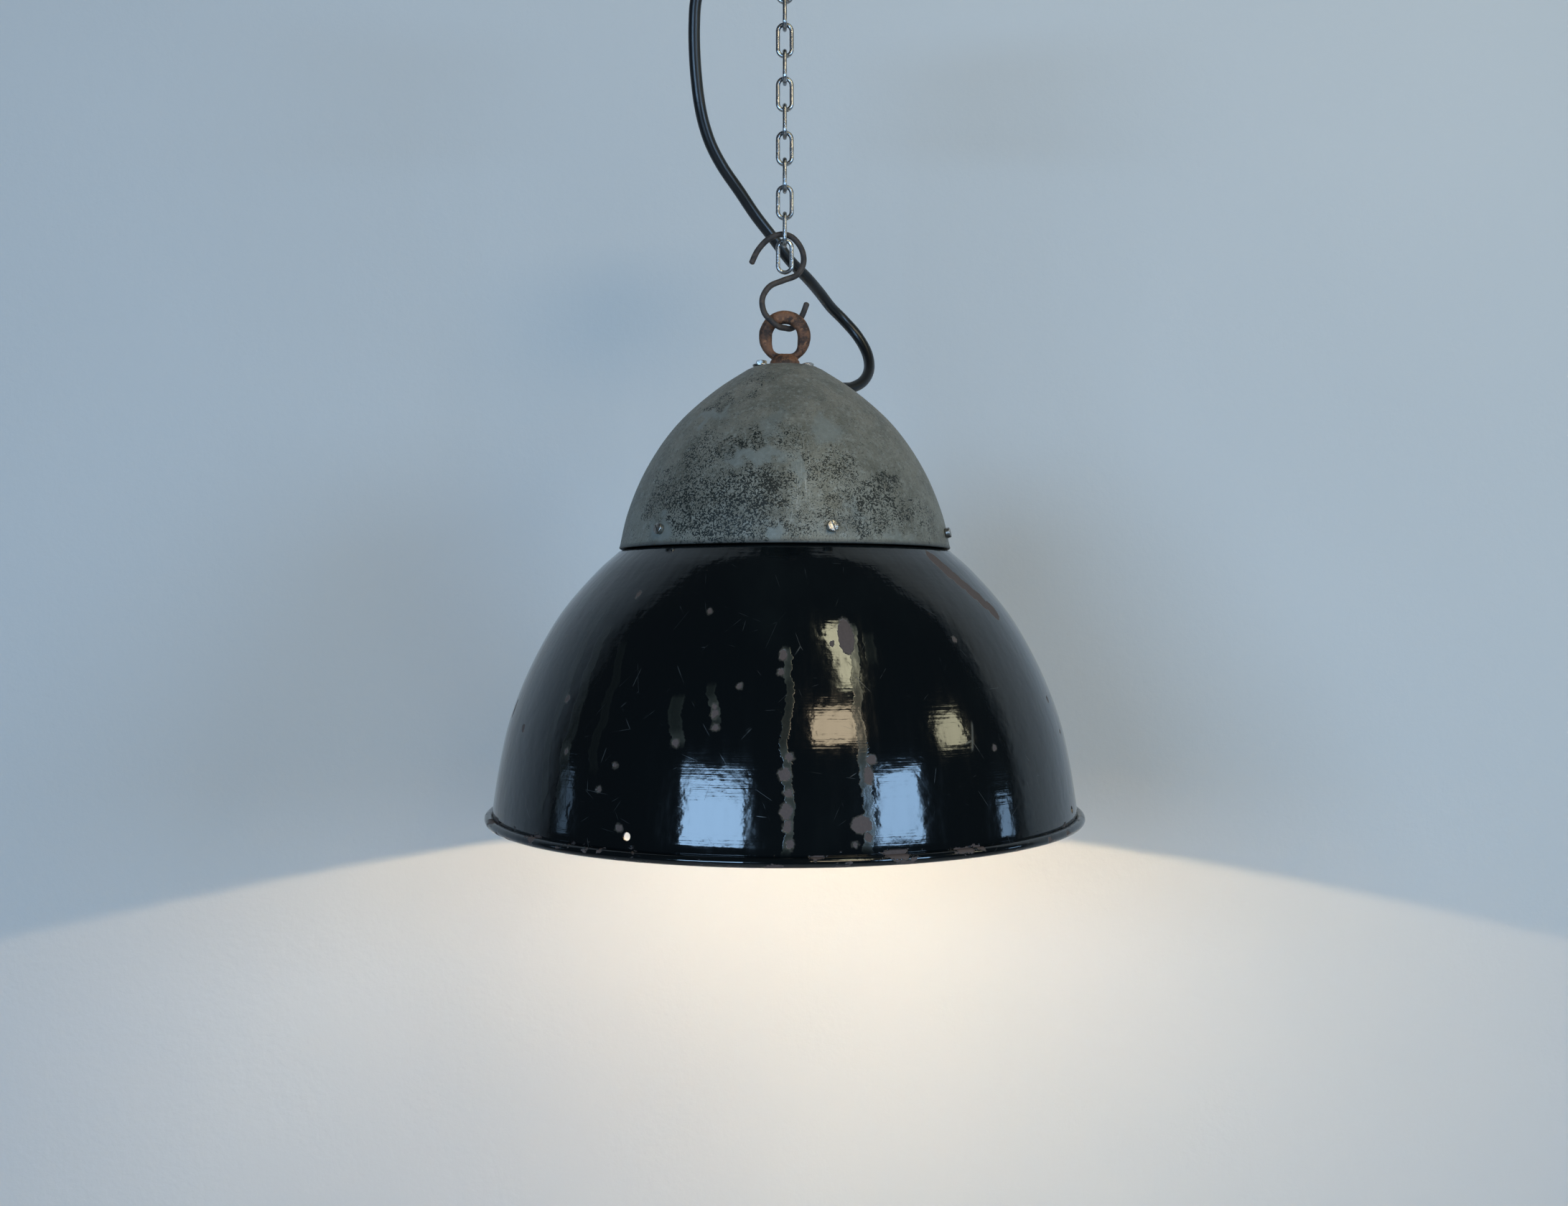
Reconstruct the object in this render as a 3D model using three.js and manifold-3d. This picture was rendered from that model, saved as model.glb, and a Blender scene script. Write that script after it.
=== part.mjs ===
// Factory pendant lamp: a ceiling rose, a short chain, an S-hook and a forged eye carry a bullet-shaped cast
// aluminium cap, which clamps an enamelled steel shade over its lampholder and bulb.
// Millimetres, +Z up. The origin is the middle of the face that lies against the ceiling, and the lamp hangs
// down from it along -Z. -Y is the front.
import * as THREE from "three";
import { mergeVertices } from "three/addons/utils/BufferGeometryUtils.js";
import Module from "manifold-3d";

const wasm = await Module();
wasm.setup();

// ---- Driving dimensions ----
const GAP = 0.3; // clearance kept between pieces that touch

// Ceiling rose
const PLATE = { radius: 60, thick: 3, bossRadius: 9, bossDrop: 14, holeRadius: 2.75, holeAt: 44 };
const COVER = { radius: 68, floorRadius: 62, drop: 24, wall: 1.2 };
const RING_HOOK = { wire: 2.25, radius: 9, shank: 3 };
const CABLE_IN_ROSE = { x: -50, y: 2 };

// Chain: round wire links, each turned a quarter turn from the last
const LINK = { wire: 1.5, innerLength: 19.2, innerWidth: 6.6, pitch: 18.9 };
const TOP_LINK_Z = -57.4;
const LINKS = 11;
const HOOK_WIRE = 2.05;

// Forged eye on the cap
const EYE = { holeRadius: 8.9, rimRadius: 18.1, centreZ: -321.2, holeFloorZ: -333.3, depth: 7.5, bevel: 1.8 };
const EYE_BASE = { radius: 10.5, shank: 5, shankEndZ: -362 };

// Cast cap, its radius against the drop below its flat top
const CAP_TOP_Z = -343;
const CAP_WALL = 4;
const CAP_OUTLINE = [[23, 0], [50, 18.2], [76.6, 42.8], [96.9, 73], [109.3, 103], [115, 127.5]];
const CAP_EDGE_Z = CAP_TOP_Z - 127.5;
const GLAND = { x: 26.8, y: 46.9, z: -364.6, turn: 150.7, rise: 30.9, bossRadius: 11, hole: 7.3 };

// Shade, its radius against the drop below the cap's edge
const SHADE_WALL = 1.2;
const SHADE_NECK = { radius: 105.2, rise: 22, foot: 2, flange: 110.4 };
const SHADE_OUTLINE = [
  [115, 1.6], [129.6, 14.8], [154.7, 44.4], [175.1, 80.8], [188.9, 116.8], [195.3, 145.5], [198.8, 167],
];
const BEAD = { radius: 3, centre: 202.4, drop: 181.6 };
const RIM_HOLES = { turns: [-27, 69, 159, 249], radius: 2.5, drop: 171.6 };

// Fasteners
const SIDE_SCREWS = { count: 6, firstTurn: 15, drop: 117.3, lean: 13, head: 3.6, headHeight: 3.4, shank: 1.9, length: 10 };
const SIDE_SCREW_SEAT = 113.1; // the cap's outer radius where the side screws sit
const SLOT_TURNS = [20, 74, -35, 8, 58, 92]; // how each slot happens to stand
const HEX_SCREW = { x: -16.3, y: -5, washer: 6.1, washerThick: 1, acrossFlats: 7, head: 2.4, shank: 1.9, endZ: -356 };

// Lampholder and bulb
const BRIDGE_Z = -460; // where the bracket carries the holder
const BRACKET = { leg: 10.5, reach: 19.9, sheet: 2, width: 12, bolt: 3.7, bridgeZ: BRIDGE_Z };
const HOLDER = { top: BRIDGE_Z - GAP, bottom: BRIDGE_Z - 65, radius: 23, bore: 14.7, boreTop: BRIDGE_Z - 25 };
const BULB = {
  cap: 13.2, capTop: BRIDGE_Z - 30.3, capBottom: BRIDGE_Z - 56.5, radius: 32.5, centreZ: BRIDGE_Z - 106, wall: 1,
};

// Supply cable: a free line from the rose to the gland at the back of the cap, cut where it passes a joint
const CABLE_RADIUS = 4.2;
const CABLE_ROUTE = [
  [-50, 2, -12], [-50, 2, -25], [-50, 2, -38], [-55, 4, -60], [-62.5, 8, -82],
  [-64, 11, -99], [-64, 14, -116], [-63, 17, -133], [-61, 20, -150],
  [-58, 24, -164], [-53, 28, -178], [-45, 33, -192], [-33, 39, -208], [-21.5, 44.8, -223.7], [-8.6, 52, -238.6],
  [4, 62, -252.8], [17, 77.3, -262.2], [26.8, 92.8, -269.8], [36, 105.8, -278.3], [45.6, 113, -286.2],
  [56.7, 114.4, -298.6], [64.1, 109.2, -313.7], [64.9, 100.4, -327.4], [59.6, 90.5, -338], [50.6, 81.7, -344],
];
const CABLE_STRAIGHT = [36, 18]; // distances from the gland at which the cable already lies on its axis
const CABLE_INSIDE = 13; // how far the cable runs on into the cap
const CABLE_STRETCHES = [
  ["supply_cable_top", 0, 75],
  ["supply_cable_upper", 75, 142],
  ["supply_cable_middle", 142, 265],
  ["supply_cable_lower", 265, Infinity],
];
const SLEEVE_LENGTH = 30; // of the rubber sleeve, from the cap's surface
const BOSS_RISE = 4; // of the gland's boss above the cap

// S-hook centreline, from the free end by the chain to the free end behind the eye
const HOOK_LINE = [
  [-23.6, 1, -270.2], [-18.8, 0.5, -260.7], [-11.5, 0, -253.1], [-2.5, 0, -249.7], [4.5, 0, -251.4],
  [9.7, -0.3, -256.6], [12.8, -0.6, -263.5], [12.8, -1, -271], [8.6, -2, -278.4], [-1, -3.5, -282.7],
  [-10.5, -5.5, -287.4], [-15.6, -7.5, -296.5], [-14, -8.4, -306.5], [-8.5, -8, -312.6], [-4.2, -5, -315.2],
  [0, 0, -315.2], [4.2, 5, -314.6], [8.5, 8.2, -311], [12.3, 9, -304.5], [15.8, 9.4, -295.4],
];

// ---- Materials ----
const steel = (color, roughness, metalness = 1) => new THREE.MeshStandardMaterial({ color, roughness, metalness });
const MATERIALS = {
  roseEnamel: steel(0x24272a, 0.35, 0),
  zinc: steel(0xb9bcc0, 0.35),
  darkIron: steel(0x2b211d, 0.7),
  rustyIron: steel(0x5b3a2a, 0.85),
  castAluminium: steel(0x8f8b84, 0.55),
  blackEnamel: steel(0x0c0d0f, 0.15, 0),
  screwSteel: steel(0x9a9ca0, 0.35),
  rubber: steel(0x111213, 0.6, 0),
  porcelain: steel(0xe9e6dd, 0.2, 0),
  brass: steel(0xb58a3c, 0.35),
  bakelite: steel(0x2a1a12, 0.4, 0),
  glass: new THREE.MeshStandardMaterial({ color: 0xfff4dd, roughness: 0.1, transparent: true, opacity: 0.6 }),
  liveWire: steel(0x5a3420, 0.5, 0),
  neutralWire: steel(0x2a4a8a, 0.5, 0),
};

// ---- Solids ----
const radians = THREE.MathUtils.degToRad;

/** A closed geometry as a manifold solid that faces outwards. */
function solidOf(geometry) {
  const bare = new THREE.BufferGeometry().setAttribute("position", geometry.getAttribute("position"));
  bare.setIndex(geometry.index);
  const merged = mergeVertices(bare, 1e-4);
  const corners = [];
  const index = merged.index.array;
  for (let i = 0; i < index.length; i += 3) {
    const [a, b, c] = [index[i], index[i + 1], index[i + 2]];
    if (a !== b && b !== c && c !== a) corners.push(a, b, c);
  }
  const make = (triangles) =>
    new wasm.Manifold(
      new wasm.Mesh({
        numProp: 3,
        vertProperties: merged.attributes.position.array,
        triVerts: new Uint32Array(triangles),
      }),
    );
  const solid = make(corners);
  return solid.volume() > 0 ? solid : make(corners.reverse());
}

function geometryOf(solid) {
  const mesh = solid.getMesh();
  const geometry = new THREE.BufferGeometry();
  geometry.setAttribute("position", new THREE.BufferAttribute(Float32Array.from(mesh.vertProperties), 3));
  geometry.setIndex(new THREE.BufferAttribute(Uint32Array.from(mesh.triVerts), 1));
  geometry.computeVertexNormals();
  return geometry;
}

const joined = (...solids) => solids.reduce((whole, next) => whole.add(next));
const cut = (whole, ...holes) => holes.reduce((left, hole) => left.subtract(hole), whole);

/** A solid of revolution about Z from its closed outline of [radius, z] points. */
function turned(outline, segments = 32) {
  const points = outline.map(([r, z]) => new THREE.Vector2(r, z));
  if (outline[0][0] > 0 || outline.at(-1)[0] > 0) points.push(points[0].clone());
  return solidOf(new THREE.LatheGeometry(points, segments).rotateX(Math.PI / 2));
}

/** An upright cylinder, or a prism for a small number of sides. */
function post(radius, low, high, sides = 20, x = 0, y = 0) {
  const geometry = new THREE.CylinderGeometry(radius, radius, high - low, sides).rotateX(Math.PI / 2);
  return solidOf(geometry.translate(x, y, (low + high) / 2));
}

/** A hexagon bar with the given size across its flats. */
const hexagon = (acrossFlats, low, high, x = 0, y = 0) => post(acrossFlats / Math.sqrt(3), low, high, 6, x, y);

/** A round wire along a curve, closed at both ends. */
function wire(curve, radius, sides, steps) {
  const section = new THREE.Shape(new THREE.EllipseCurve(0, 0, radius, radius).getPoints(sides).slice(0, sides));
  return solidOf(new THREE.ExtrudeGeometry(section, { extrudePath: curve, steps, curveSegments: sides }));
}

const spline = (points) =>
  new THREE.CatmullRomCurve3(points.map((p) => new THREE.Vector3(...p)), false, "centripetal");

/** Points of a smooth outline through a few [radius, drop] points, as [radius, z] below top. */
const smoothOutline = (points, top, divisions) =>
  new THREE.SplineCurve(points.map(([r, drop]) => new THREE.Vector2(r, top - drop)))
    .getSpacedPoints(divisions)
    .map((p) => [p.x, p.y]);

/** The outline moved inwards, square to itself, by a wall's thickness. */
function inset(outline, wall) {
  return outline.map((point, i) => {
    const before = outline[Math.max(i - 1, 0)];
    const after = outline[Math.min(i + 1, outline.length - 1)];
    const [along, down] = [after[0] - before[0], before[1] - after[1]];
    const length = Math.hypot(along, down);
    return [point[0] - (wall * down) / length, point[1] - (wall * along) / length];
  });
}

/** Unit direction that leaves the axis at a turn from the front (+ to the right), rising by an angle. */
function outward(turn, rise) {
  const [a, b] = [radians(turn), radians(rise)];
  return new THREE.Vector3(Math.sin(a) * Math.cos(b), -Math.cos(a) * Math.cos(b), Math.sin(b));
}

/** A solid made along +Z, turned so that +Z points along direction, and set at a point. */
function aimed(solid, direction, at, roll = 0) {
  const turn = new THREE.Quaternion().setFromUnitVectors(new THREE.Vector3(0, 0, 1), direction);
  turn.multiply(new THREE.Quaternion().setFromAxisAngle(new THREE.Vector3(0, 0, 1), radians(roll)));
  const matrix = new THREE.Matrix4().compose(at, turn, new THREE.Vector3(1, 1, 1));
  return solidOf(geometryOf(solid).applyMatrix4(matrix));
}

const lamp = new THREE.Group();

function place(name, solid, material, group = lamp) {
  const mesh = new THREE.Mesh(geometryOf(solid), material.clone());
  mesh.name = name;
  group.add(mesh);
  return mesh;
}

// ---- Ceiling rose ----
function buildRose() {
  const floorZ = -COVER.drop;
  const inside = floorZ + COVER.wall;
  const plate = joined(
    post(PLATE.radius, -PLATE.thick, 0, 36),
    post(PLATE.bossRadius, -PLATE.bossDrop, -PLATE.thick / 2, 24),
  );
  const wallHoles = [-1, 1].map((side) => post(PLATE.holeRadius, -9, 9, 16, 0, side * PLATE.holeAt));
  const tapping = post(RING_HOOK.shank + GAP, -PLATE.bossDrop - 1, -PLATE.thick - 1);
  place("rose_backplate", cut(plate, ...wallHoles, tapping), MATERIALS.zinc);

  const cup = turned([
    [0, floorZ], [COVER.floorRadius, floorZ], [COVER.radius - 1, floorZ + 5], [COVER.radius, floorZ + 9],
    [COVER.radius, -0.5], [COVER.radius - COVER.wall, -0.5], [COVER.radius - COVER.wall, floorZ + 9],
    [COVER.floorRadius - 0.5, inside], [0, inside],
  ], 36);
  const shankHole = post(RING_HOOK.shank + 0.5, floorZ - 9, 0);
  const bushHole = post(7.3, floorZ - 9, 0, 20, CABLE_IN_ROSE.x, CABLE_IN_ROSE.y);
  place("rose_cover", cut(cup, shankHole, bushHole), MATERIALS.roseEnamel);

  const linkCrownZ = TOP_LINK_Z + LINK.innerLength / 2 + LINK.wire;
  const ringZ = linkCrownZ - LINK.wire - RING_HOOK.wire - GAP + RING_HOOK.radius;
  const ring = solidOf(new THREE.TorusGeometry(RING_HOOK.radius, RING_HOOK.wire, 8, 20).rotateX(Math.PI / 2));
  const shankFoot = ringZ + RING_HOOK.radius - 1;
  const shank = post(RING_HOOK.shank, shankFoot, -PLATE.thick - 1 - GAP);
  place("ceiling_ring_hook", ring.translate([0, 0, ringZ]).add(shank), MATERIALS.zinc);
  const nut = cut(hexagon(10, floorZ - GAP - 4.6, floorZ - GAP), shankHole);
  place("rose_lock_nut", nut, MATERIALS.zinc);

  const bore = CABLE_RADIUS + GAP;
  const bush = turned([
    [bore, floorZ + 4], [7, floorZ + 4], [7, floorZ - GAP], [9.2, floorZ - GAP], [9.2, floorZ - 2.6],
    [7.6, floorZ - 3.4], [6, floorZ - 14], [bore + 0.9, floorZ - 14], [bore, floorZ - 5],
  ], 20);
  place("rose_cable_bush", bush.translate([CABLE_IN_ROSE.x, CABLE_IN_ROSE.y, 0]), MATERIALS.rubber);

  const block = solidOf(new THREE.BoxGeometry(30, 14, 11).translate(-28, -24, -PLATE.thick - GAP - 5.5));
  const wells = [-10, 0, 10].map((x) => post(2.6, -20, -9, 12, x - 28, -24));
  place("rose_terminal_block", cut(block, ...wells), MATERIALS.bakelite);
  return ringZ;
}

// ---- Chain and S-hook ----
/** One link: a ring of wire pulled apart into two half rounds and two straight sides. */
function linkSolid() {
  const crown = LINK.innerWidth / 2 + LINK.wire;
  const stretch = (LINK.innerLength - LINK.innerWidth) / 2;
  const segments = 14;
  const ring = new THREE.TorusGeometry(crown, LINK.wire, 8, segments).rotateZ(Math.PI / segments);
  const at = ring.getAttribute("position");
  for (let i = 0; i < at.count; i++) at.setY(i, at.getY(i) + Math.sign(at.getY(i)) * stretch);
  return solidOf(ring.rotateX(Math.PI / 2));
}

function buildChain() {
  const link = linkSolid();
  for (let i = 0; i <= LINKS; i++) {
    const name = i < LINKS ? `chain_link_${String(i + 1).padStart(2, "0")}` : "chain_end_link";
    const edgeOn = i % 2 === 0;
    const turnedLink = edgeOn ? link.rotate([0, 0, 90]) : link;
    place(name, turnedLink.translate([0, 0, TOP_LINK_Z - i * LINK.pitch]), MATERIALS.zinc);
  }
  place("s_hook", wire(spline(HOOK_LINE), HOOK_WIRE, 8, 44), MATERIALS.darkIron);
}

// ---- Eye and top screws ----
function buildEye() {
  const neck = EYE_BASE.radius;
  const seatZ = CAP_TOP_Z + GAP;
  const outline = new THREE.Shape();
  const meet = radians(-52);
  outline.absarc(0, EYE.centreZ, EYE.rimRadius - EYE.bevel, meet, Math.PI - meet, false);
  outline.lineTo(-neck + EYE.bevel, seatZ + 3);
  outline.lineTo(neck - EYE.bevel, seatZ + 3);
  const hole = new THREE.Path();
  const holeRadius = EYE.holeRadius + EYE.bevel;
  hole.absarc(0, EYE.centreZ, holeRadius, 0, Math.PI, false);
  hole.lineTo(-holeRadius, EYE.holeFloorZ - EYE.bevel + 4);
  hole.lineTo(-holeRadius + 4, EYE.holeFloorZ - EYE.bevel);
  hole.lineTo(holeRadius - 4, EYE.holeFloorZ - EYE.bevel);
  hole.lineTo(holeRadius, EYE.holeFloorZ - EYE.bevel + 4);
  outline.holes.push(hole);
  const flat = EYE.depth - 2 * EYE.bevel;
  const loop = new THREE.ExtrudeGeometry(outline, {
    depth: flat, bevelThickness: EYE.bevel, bevelSize: EYE.bevel, bevelSegments: 2, curveSegments: 16,
  });
  loop.rotateX(Math.PI / 2).translate(0, flat / 2, 0);
  const base = turned([
    [0, seatZ + 6], [7.5, seatZ + 6], [EYE_BASE.radius, seatZ + 2.5], [EYE_BASE.radius, seatZ], [EYE_BASE.shank, seatZ],
    [EYE_BASE.shank, EYE_BASE.shankEndZ], [0, EYE_BASE.shankEndZ],
  ], 28);
  place("suspension_eye", solidOf(loop).add(base), MATERIALS.rustyIron);

  const underCap = CAP_TOP_Z - CAP_WALL - GAP;
  const shankHole = post(EYE_BASE.shank + GAP, underCap - 30, underCap + 5);
  place("eye_washer", cut(post(9.8, underCap - 2, underCap, 24), shankHole), MATERIALS.zinc);
  const nut = hexagon(17, underCap - 2 - GAP - 8, underCap - 2 - GAP);
  place("eye_nut", cut(nut, shankHole), MATERIALS.zinc);
}

function buildHexScrews() {
  const underBracket = CAP_TOP_Z - CAP_WALL - GAP - BRACKET.sheet - GAP;
  for (const [side, label] of [[1, "front"], [-1, "rear"]]) {
    const [x, y] = [HEX_SCREW.x * side, HEX_SCREW.y * side];
    const washerZ = CAP_TOP_Z + GAP;
    const headZ = washerZ + HEX_SCREW.washerThick + GAP;
    const clearance = post(HEX_SCREW.shank + GAP, underBracket - 9, headZ, 12, x, y);
    const washer = post(HEX_SCREW.washer, washerZ, washerZ + HEX_SCREW.washerThick, 24, x, y);
    place(`top_washer_${label}`, cut(washer, clearance), MATERIALS.screwSteel);
    const head = hexagon(HEX_SCREW.acrossFlats, headZ, headZ + HEX_SCREW.head, x, y);
    const shank = post(HEX_SCREW.shank, HEX_SCREW.endZ, headZ + 1, 12, x, y);
    place(`top_hex_screw_${label}`, head.add(shank), MATERIALS.screwSteel);
    const nut = hexagon(HEX_SCREW.acrossFlats, underBracket - 3.2, underBracket, x, y);
    place(`top_screw_nut_${label}`, cut(nut, clearance), MATERIALS.zinc);
  }
}

// ---- Cast cap, shade and side screws ----
const glandAt = new THREE.Vector3(GLAND.x, GLAND.y, GLAND.z);
const glandWay = outward(GLAND.turn, GLAND.rise);
const sideScrewTurns = Array.from({ length: SIDE_SCREWS.count }, (_, i) => SIDE_SCREWS.firstTurn + 60 * i);

/** Where a side screw's head sits on the cap. */
function sideScrewSeat(turn) {
  const out = outward(turn, 0).multiplyScalar(SIDE_SCREW_SEAT);
  return out.setZ(CAP_TOP_Z - SIDE_SCREWS.drop);
}

const sideScrewHoles = (radius) =>
  sideScrewTurns.map((turn) =>
    aimed(post(radius, -12, 8, 12), outward(turn, SIDE_SCREWS.lean), sideScrewSeat(turn)),
  );

function buildCap() {
  const outer = smoothOutline(CAP_OUTLINE, CAP_TOP_Z, 10);
  const inner = inset(outer, CAP_WALL);
  const shell = turned([[0, CAP_TOP_Z], ...outer, [0, CAP_EDGE_Z]], 48);
  const boss = aimed(post(GLAND.bossRadius, -14, BOSS_RISE, 28), glandWay, glandAt);
  const roomTop = CAP_TOP_Z - CAP_WALL;
  const roomWall = inner.filter(([, z]) => z < roomTop - 0.5);
  const edgeRadius = CAP_OUTLINE.at(-1)[0] - CAP_WALL;
  const room = turned([
    [0, roomTop], [21.5, roomTop], ...roomWall.slice(0, -1), [edgeRadius, CAP_EDGE_Z + 6], [edgeRadius, CAP_EDGE_Z - 5],
    [0, CAP_EDGE_Z - 5],
  ], 48);
  const holes = [
    post(EYE_BASE.shank + 0.4, roomTop - 9, CAP_TOP_Z + 9),
    ...[1, -1].map((side) =>
      post(HEX_SCREW.shank + 0.4, roomTop - 9, CAP_TOP_Z + 9, 12, HEX_SCREW.x * side, HEX_SCREW.y * side)),
    aimed(post(GLAND.hole, -30, 30, 24), glandWay, glandAt),
    ...sideScrewHoles(SIDE_SCREWS.shank + 0.4),
  ];
  place("cast_cap", cut(joined(shell, boss), room, ...holes), MATERIALS.castAluminium);
}

function buildShade() {
  const outer = smoothOutline(SHADE_OUTLINE, CAP_EDGE_Z, 11);
  const neckTop = CAP_EDGE_Z + SHADE_NECK.rise;
  const beadZ = CAP_EDGE_Z - BEAD.drop;
  const neck = [
    [SHADE_NECK.radius, neckTop], [SHADE_NECK.radius, CAP_EDGE_Z + SHADE_NECK.foot],
    [SHADE_NECK.radius + 1.8, CAP_EDGE_Z], [SHADE_NECK.flange, CAP_EDGE_Z - 0.6],
  ];
  const wallLine = [...neck, ...outer, [BEAD.centre - BEAD.radius, beadZ + 6]];
  const bead = [150, 100, 50, 0, -50, -100, -150].map((a) => [
    BEAD.centre + BEAD.radius * Math.cos(radians(a)),
    beadZ + BEAD.radius * Math.sin(radians(a)),
  ]);
  const innerLine = inset(wallLine, SHADE_WALL).reverse();
  const shell = turned([...wallLine, ...bead, ...innerLine], 56);
  const rimHoles = RIM_HOLES.turns.map((turn) => {
    const at = outward(turn, 0).multiplyScalar(SHADE_OUTLINE.at(-1)[0]).setZ(CAP_EDGE_Z - RIM_HOLES.drop);
    return aimed(post(RIM_HOLES.radius, -9, 9, 16), outward(turn, 0), at);
  });
  place("enamel_shade", cut(shell, ...rimHoles, ...sideScrewHoles(SIDE_SCREWS.shank + 0.6)), MATERIALS.blackEnamel);
}

function buildSideScrews() {
  const { head, headHeight, shank, length } = SIDE_SCREWS;
  const blank = joined(post(head, GAP + 0.1, headHeight, 20), post(shank, -length, 1, 12));
  const slot = solidOf(new THREE.BoxGeometry(3 * head, 1, 2.4).translate(0, 0, headHeight));
  const screw = cut(blank, slot);
  sideScrewTurns.forEach((turn, i) => {
    const made = aimed(screw, outward(turn, SIDE_SCREWS.lean), sideScrewSeat(turn), SLOT_TURNS[i]);
    place(`side_screw_${i + 1}`, made, MATERIALS.screwSteel);
  });
}

// ---- Cable gland ----
function buildGland() {
  const bore = CABLE_RADIUS + GAP;
  const seat = BOSS_RISE + GAP;
  const sleeve = turned([
    [bore, -12], [GLAND.hole - GAP, -12], [GLAND.hole - GAP, seat], [9.8, seat], [9.8, seat + 2.4], [8.2, seat + 3.4],
    [6.1, SLEEVE_LENGTH], [bore + 1, SLEEVE_LENGTH], [bore, SLEEVE_LENGTH - 12],
  ], 22);
  place("cable_sleeve", aimed(sleeve, glandWay, glandAt), MATERIALS.rubber);
}

// ---- Lampholder and bulb ----
function buildHolder() {
  const { leg, reach, sheet, width, bridgeZ } = BRACKET;
  const footZ = CAP_TOP_Z - CAP_WALL - GAP;
  const rightHalf = [
    [leg, bridgeZ + sheet], [leg, footZ], [reach, footZ], [reach, footZ - sheet], [leg + sheet, footZ - sheet],
    [leg + sheet, bridgeZ],
  ];
  const leftHalf = rightHalf.map(([x, z]) => [-x, z]).reverse();
  const hat = new THREE.Shape([...rightHalf, ...leftHalf].map(([x, z]) => new THREE.Vector2(x, z)));
  const strap = new THREE.ExtrudeGeometry(hat, { depth: width, bevelEnabled: false });
  strap.rotateX(Math.PI / 2).translate(0, width / 2, 0).rotateZ(Math.atan2(HEX_SCREW.y, HEX_SCREW.x));
  const strapHoles = [
    ...[1, -1].map((side) => post(HEX_SCREW.shank + 0.4, footZ - 5, footZ + 5, 12, HEX_SCREW.x * side, HEX_SCREW.y * side)),
    post(BRACKET.bolt + GAP, bridgeZ - 5, bridgeZ + 5),
  ];
  place("holder_bracket", cut(solidOf(strap), ...strapHoles), MATERIALS.zinc);

  const boltSeat = bridgeZ + sheet + GAP;
  const bolt = joined(hexagon(13, boltSeat, boltSeat + 4.5), post(BRACKET.bolt, HOLDER.top - 9, boltSeat + 1));
  place("holder_bolt", bolt, MATERIALS.zinc);

  const { top, bottom, radius, bore, boreTop } = HOLDER;
  const body = turned([
    [BRACKET.bolt + GAP, top], [15, top], [21, top - 7], [radius, top - 16], [radius, bottom + 3], [radius - 2, bottom], [bore, bottom],
    [bore, boreTop], [0, boreTop], [0, top - 10], [BRACKET.bolt + GAP, top - 10],
  ], 32);
  place("lampholder_body", body, MATERIALS.porcelain);
  const shell = turned([[13.6, boreTop - 2], [14.3, boreTop - 2], [14.3, bottom + 6], [13.6, bottom + 6]], 32);
  place("lampholder_screw_shell", shell, MATERIALS.brass);
  place("lampholder_centre_contact", post(4, boreTop - 2.6, boreTop - GAP, 20), MATERIALS.brass);
}

function buildBulb() {
  const { cap, capTop, capBottom, radius, centreZ, wall } = BULB;
  place("bulb_contact", post(4.4, capTop + GAP, capTop + 1.7, 20), MATERIALS.brass);
  const base = turned([[0, capTop], [8, capTop - 0.6], [cap, capTop - 4], [cap, capBottom + 2], [cap - 0.6, capBottom], [0, capBottom]], 28);
  place("bulb_cap", base, MATERIALS.zinc);
  const neckZ = capBottom - GAP;
  const belly = Array.from({ length: 10 }, (_, i) => {
    const a = radians(40 - (130 * i) / 9);
    return [i === 9 ? 0 : radius * Math.cos(a), centreZ + radius * Math.sin(a)];
  });
  const outer = [[12.4, neckZ], [13.1, neckZ - 9], [17, neckZ - 18], ...belly];
  const inner = inset(outer, wall).reverse();
  inner[0] = [0, centreZ - radius + wall];
  inner[inner.length - 1] = [12.4 - wall, neckZ];
  place("bulb_glass", turned([...outer, ...inner], 24), MATERIALS.glass);
}

function buildLeads() {
  const start = glandAt.clone().addScaledVector(glandWay, -CABLE_INSIDE - 1.6);
  const leads = [
    { name: "live_lead", offset: 2, end: [13, 12.5, BRIDGE_Z - 1.5], material: MATERIALS.liveWire },
    { name: "neutral_lead", offset: -2, end: [4, 17.5, BRIDGE_Z - 1.5], material: MATERIALS.neutralWire },
  ];
  for (const { name, offset, end, material } of leads) {
    const from = [start.x + offset, start.y - offset / 2, start.z];
    const drop = [from[0] - 1, from[1] - 1, from[2] - 24];
    const lean = [(from[0] + end[0]) / 2, (from[1] + end[1]) / 2 + 3, (from[2] + end[2]) / 2 - 8];
    const over = [end[0] + 1, end[1] + 1.5, end[2] + 5.5];
    place(name, wire(spline([from, drop, lean, over, end]), 1.3, 8, 20), material);
  }
}

// ---- Supply cable ----
/** The part of a curve between two shares of its length. */
class Stretch extends THREE.Curve {
  constructor(whole, low, high) {
    super();
    Object.assign(this, { whole, low, high });
  }

  getPoint(t, target) {
    return this.whole.getPointAt(this.low + (this.high - this.low) * t, target);
  }
}

/** The cable's tubes: stretches of one smooth line, a gap apart where they meet. */
function buildCable() {
  const axisPoints = [...CABLE_STRAIGHT, -CABLE_INSIDE].map((distance) =>
    glandAt.clone().addScaledVector(glandWay, distance).toArray(),
  );
  const line = spline([...CABLE_ROUTE, ...axisPoints]);
  const length = line.getLength();
  for (const [name, from, to] of CABLE_STRETCHES) {
    const low = from === 0 ? 0 : (from + GAP / 2) / length;
    const high = to > length ? 1 : (to - GAP / 2) / length;
    const steps = Math.round(((high - low) * length) / 8);
    place(name, wire(new Stretch(line, low, high), CABLE_RADIUS, 10, steps), MATERIALS.rubber);
  }
}

buildRose();
buildChain();
buildEye();
buildHexScrews();
buildCap();
buildShade();
buildSideScrews();
buildGland();
buildHolder();
buildBulb();
buildLeads();
buildCable();

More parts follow.
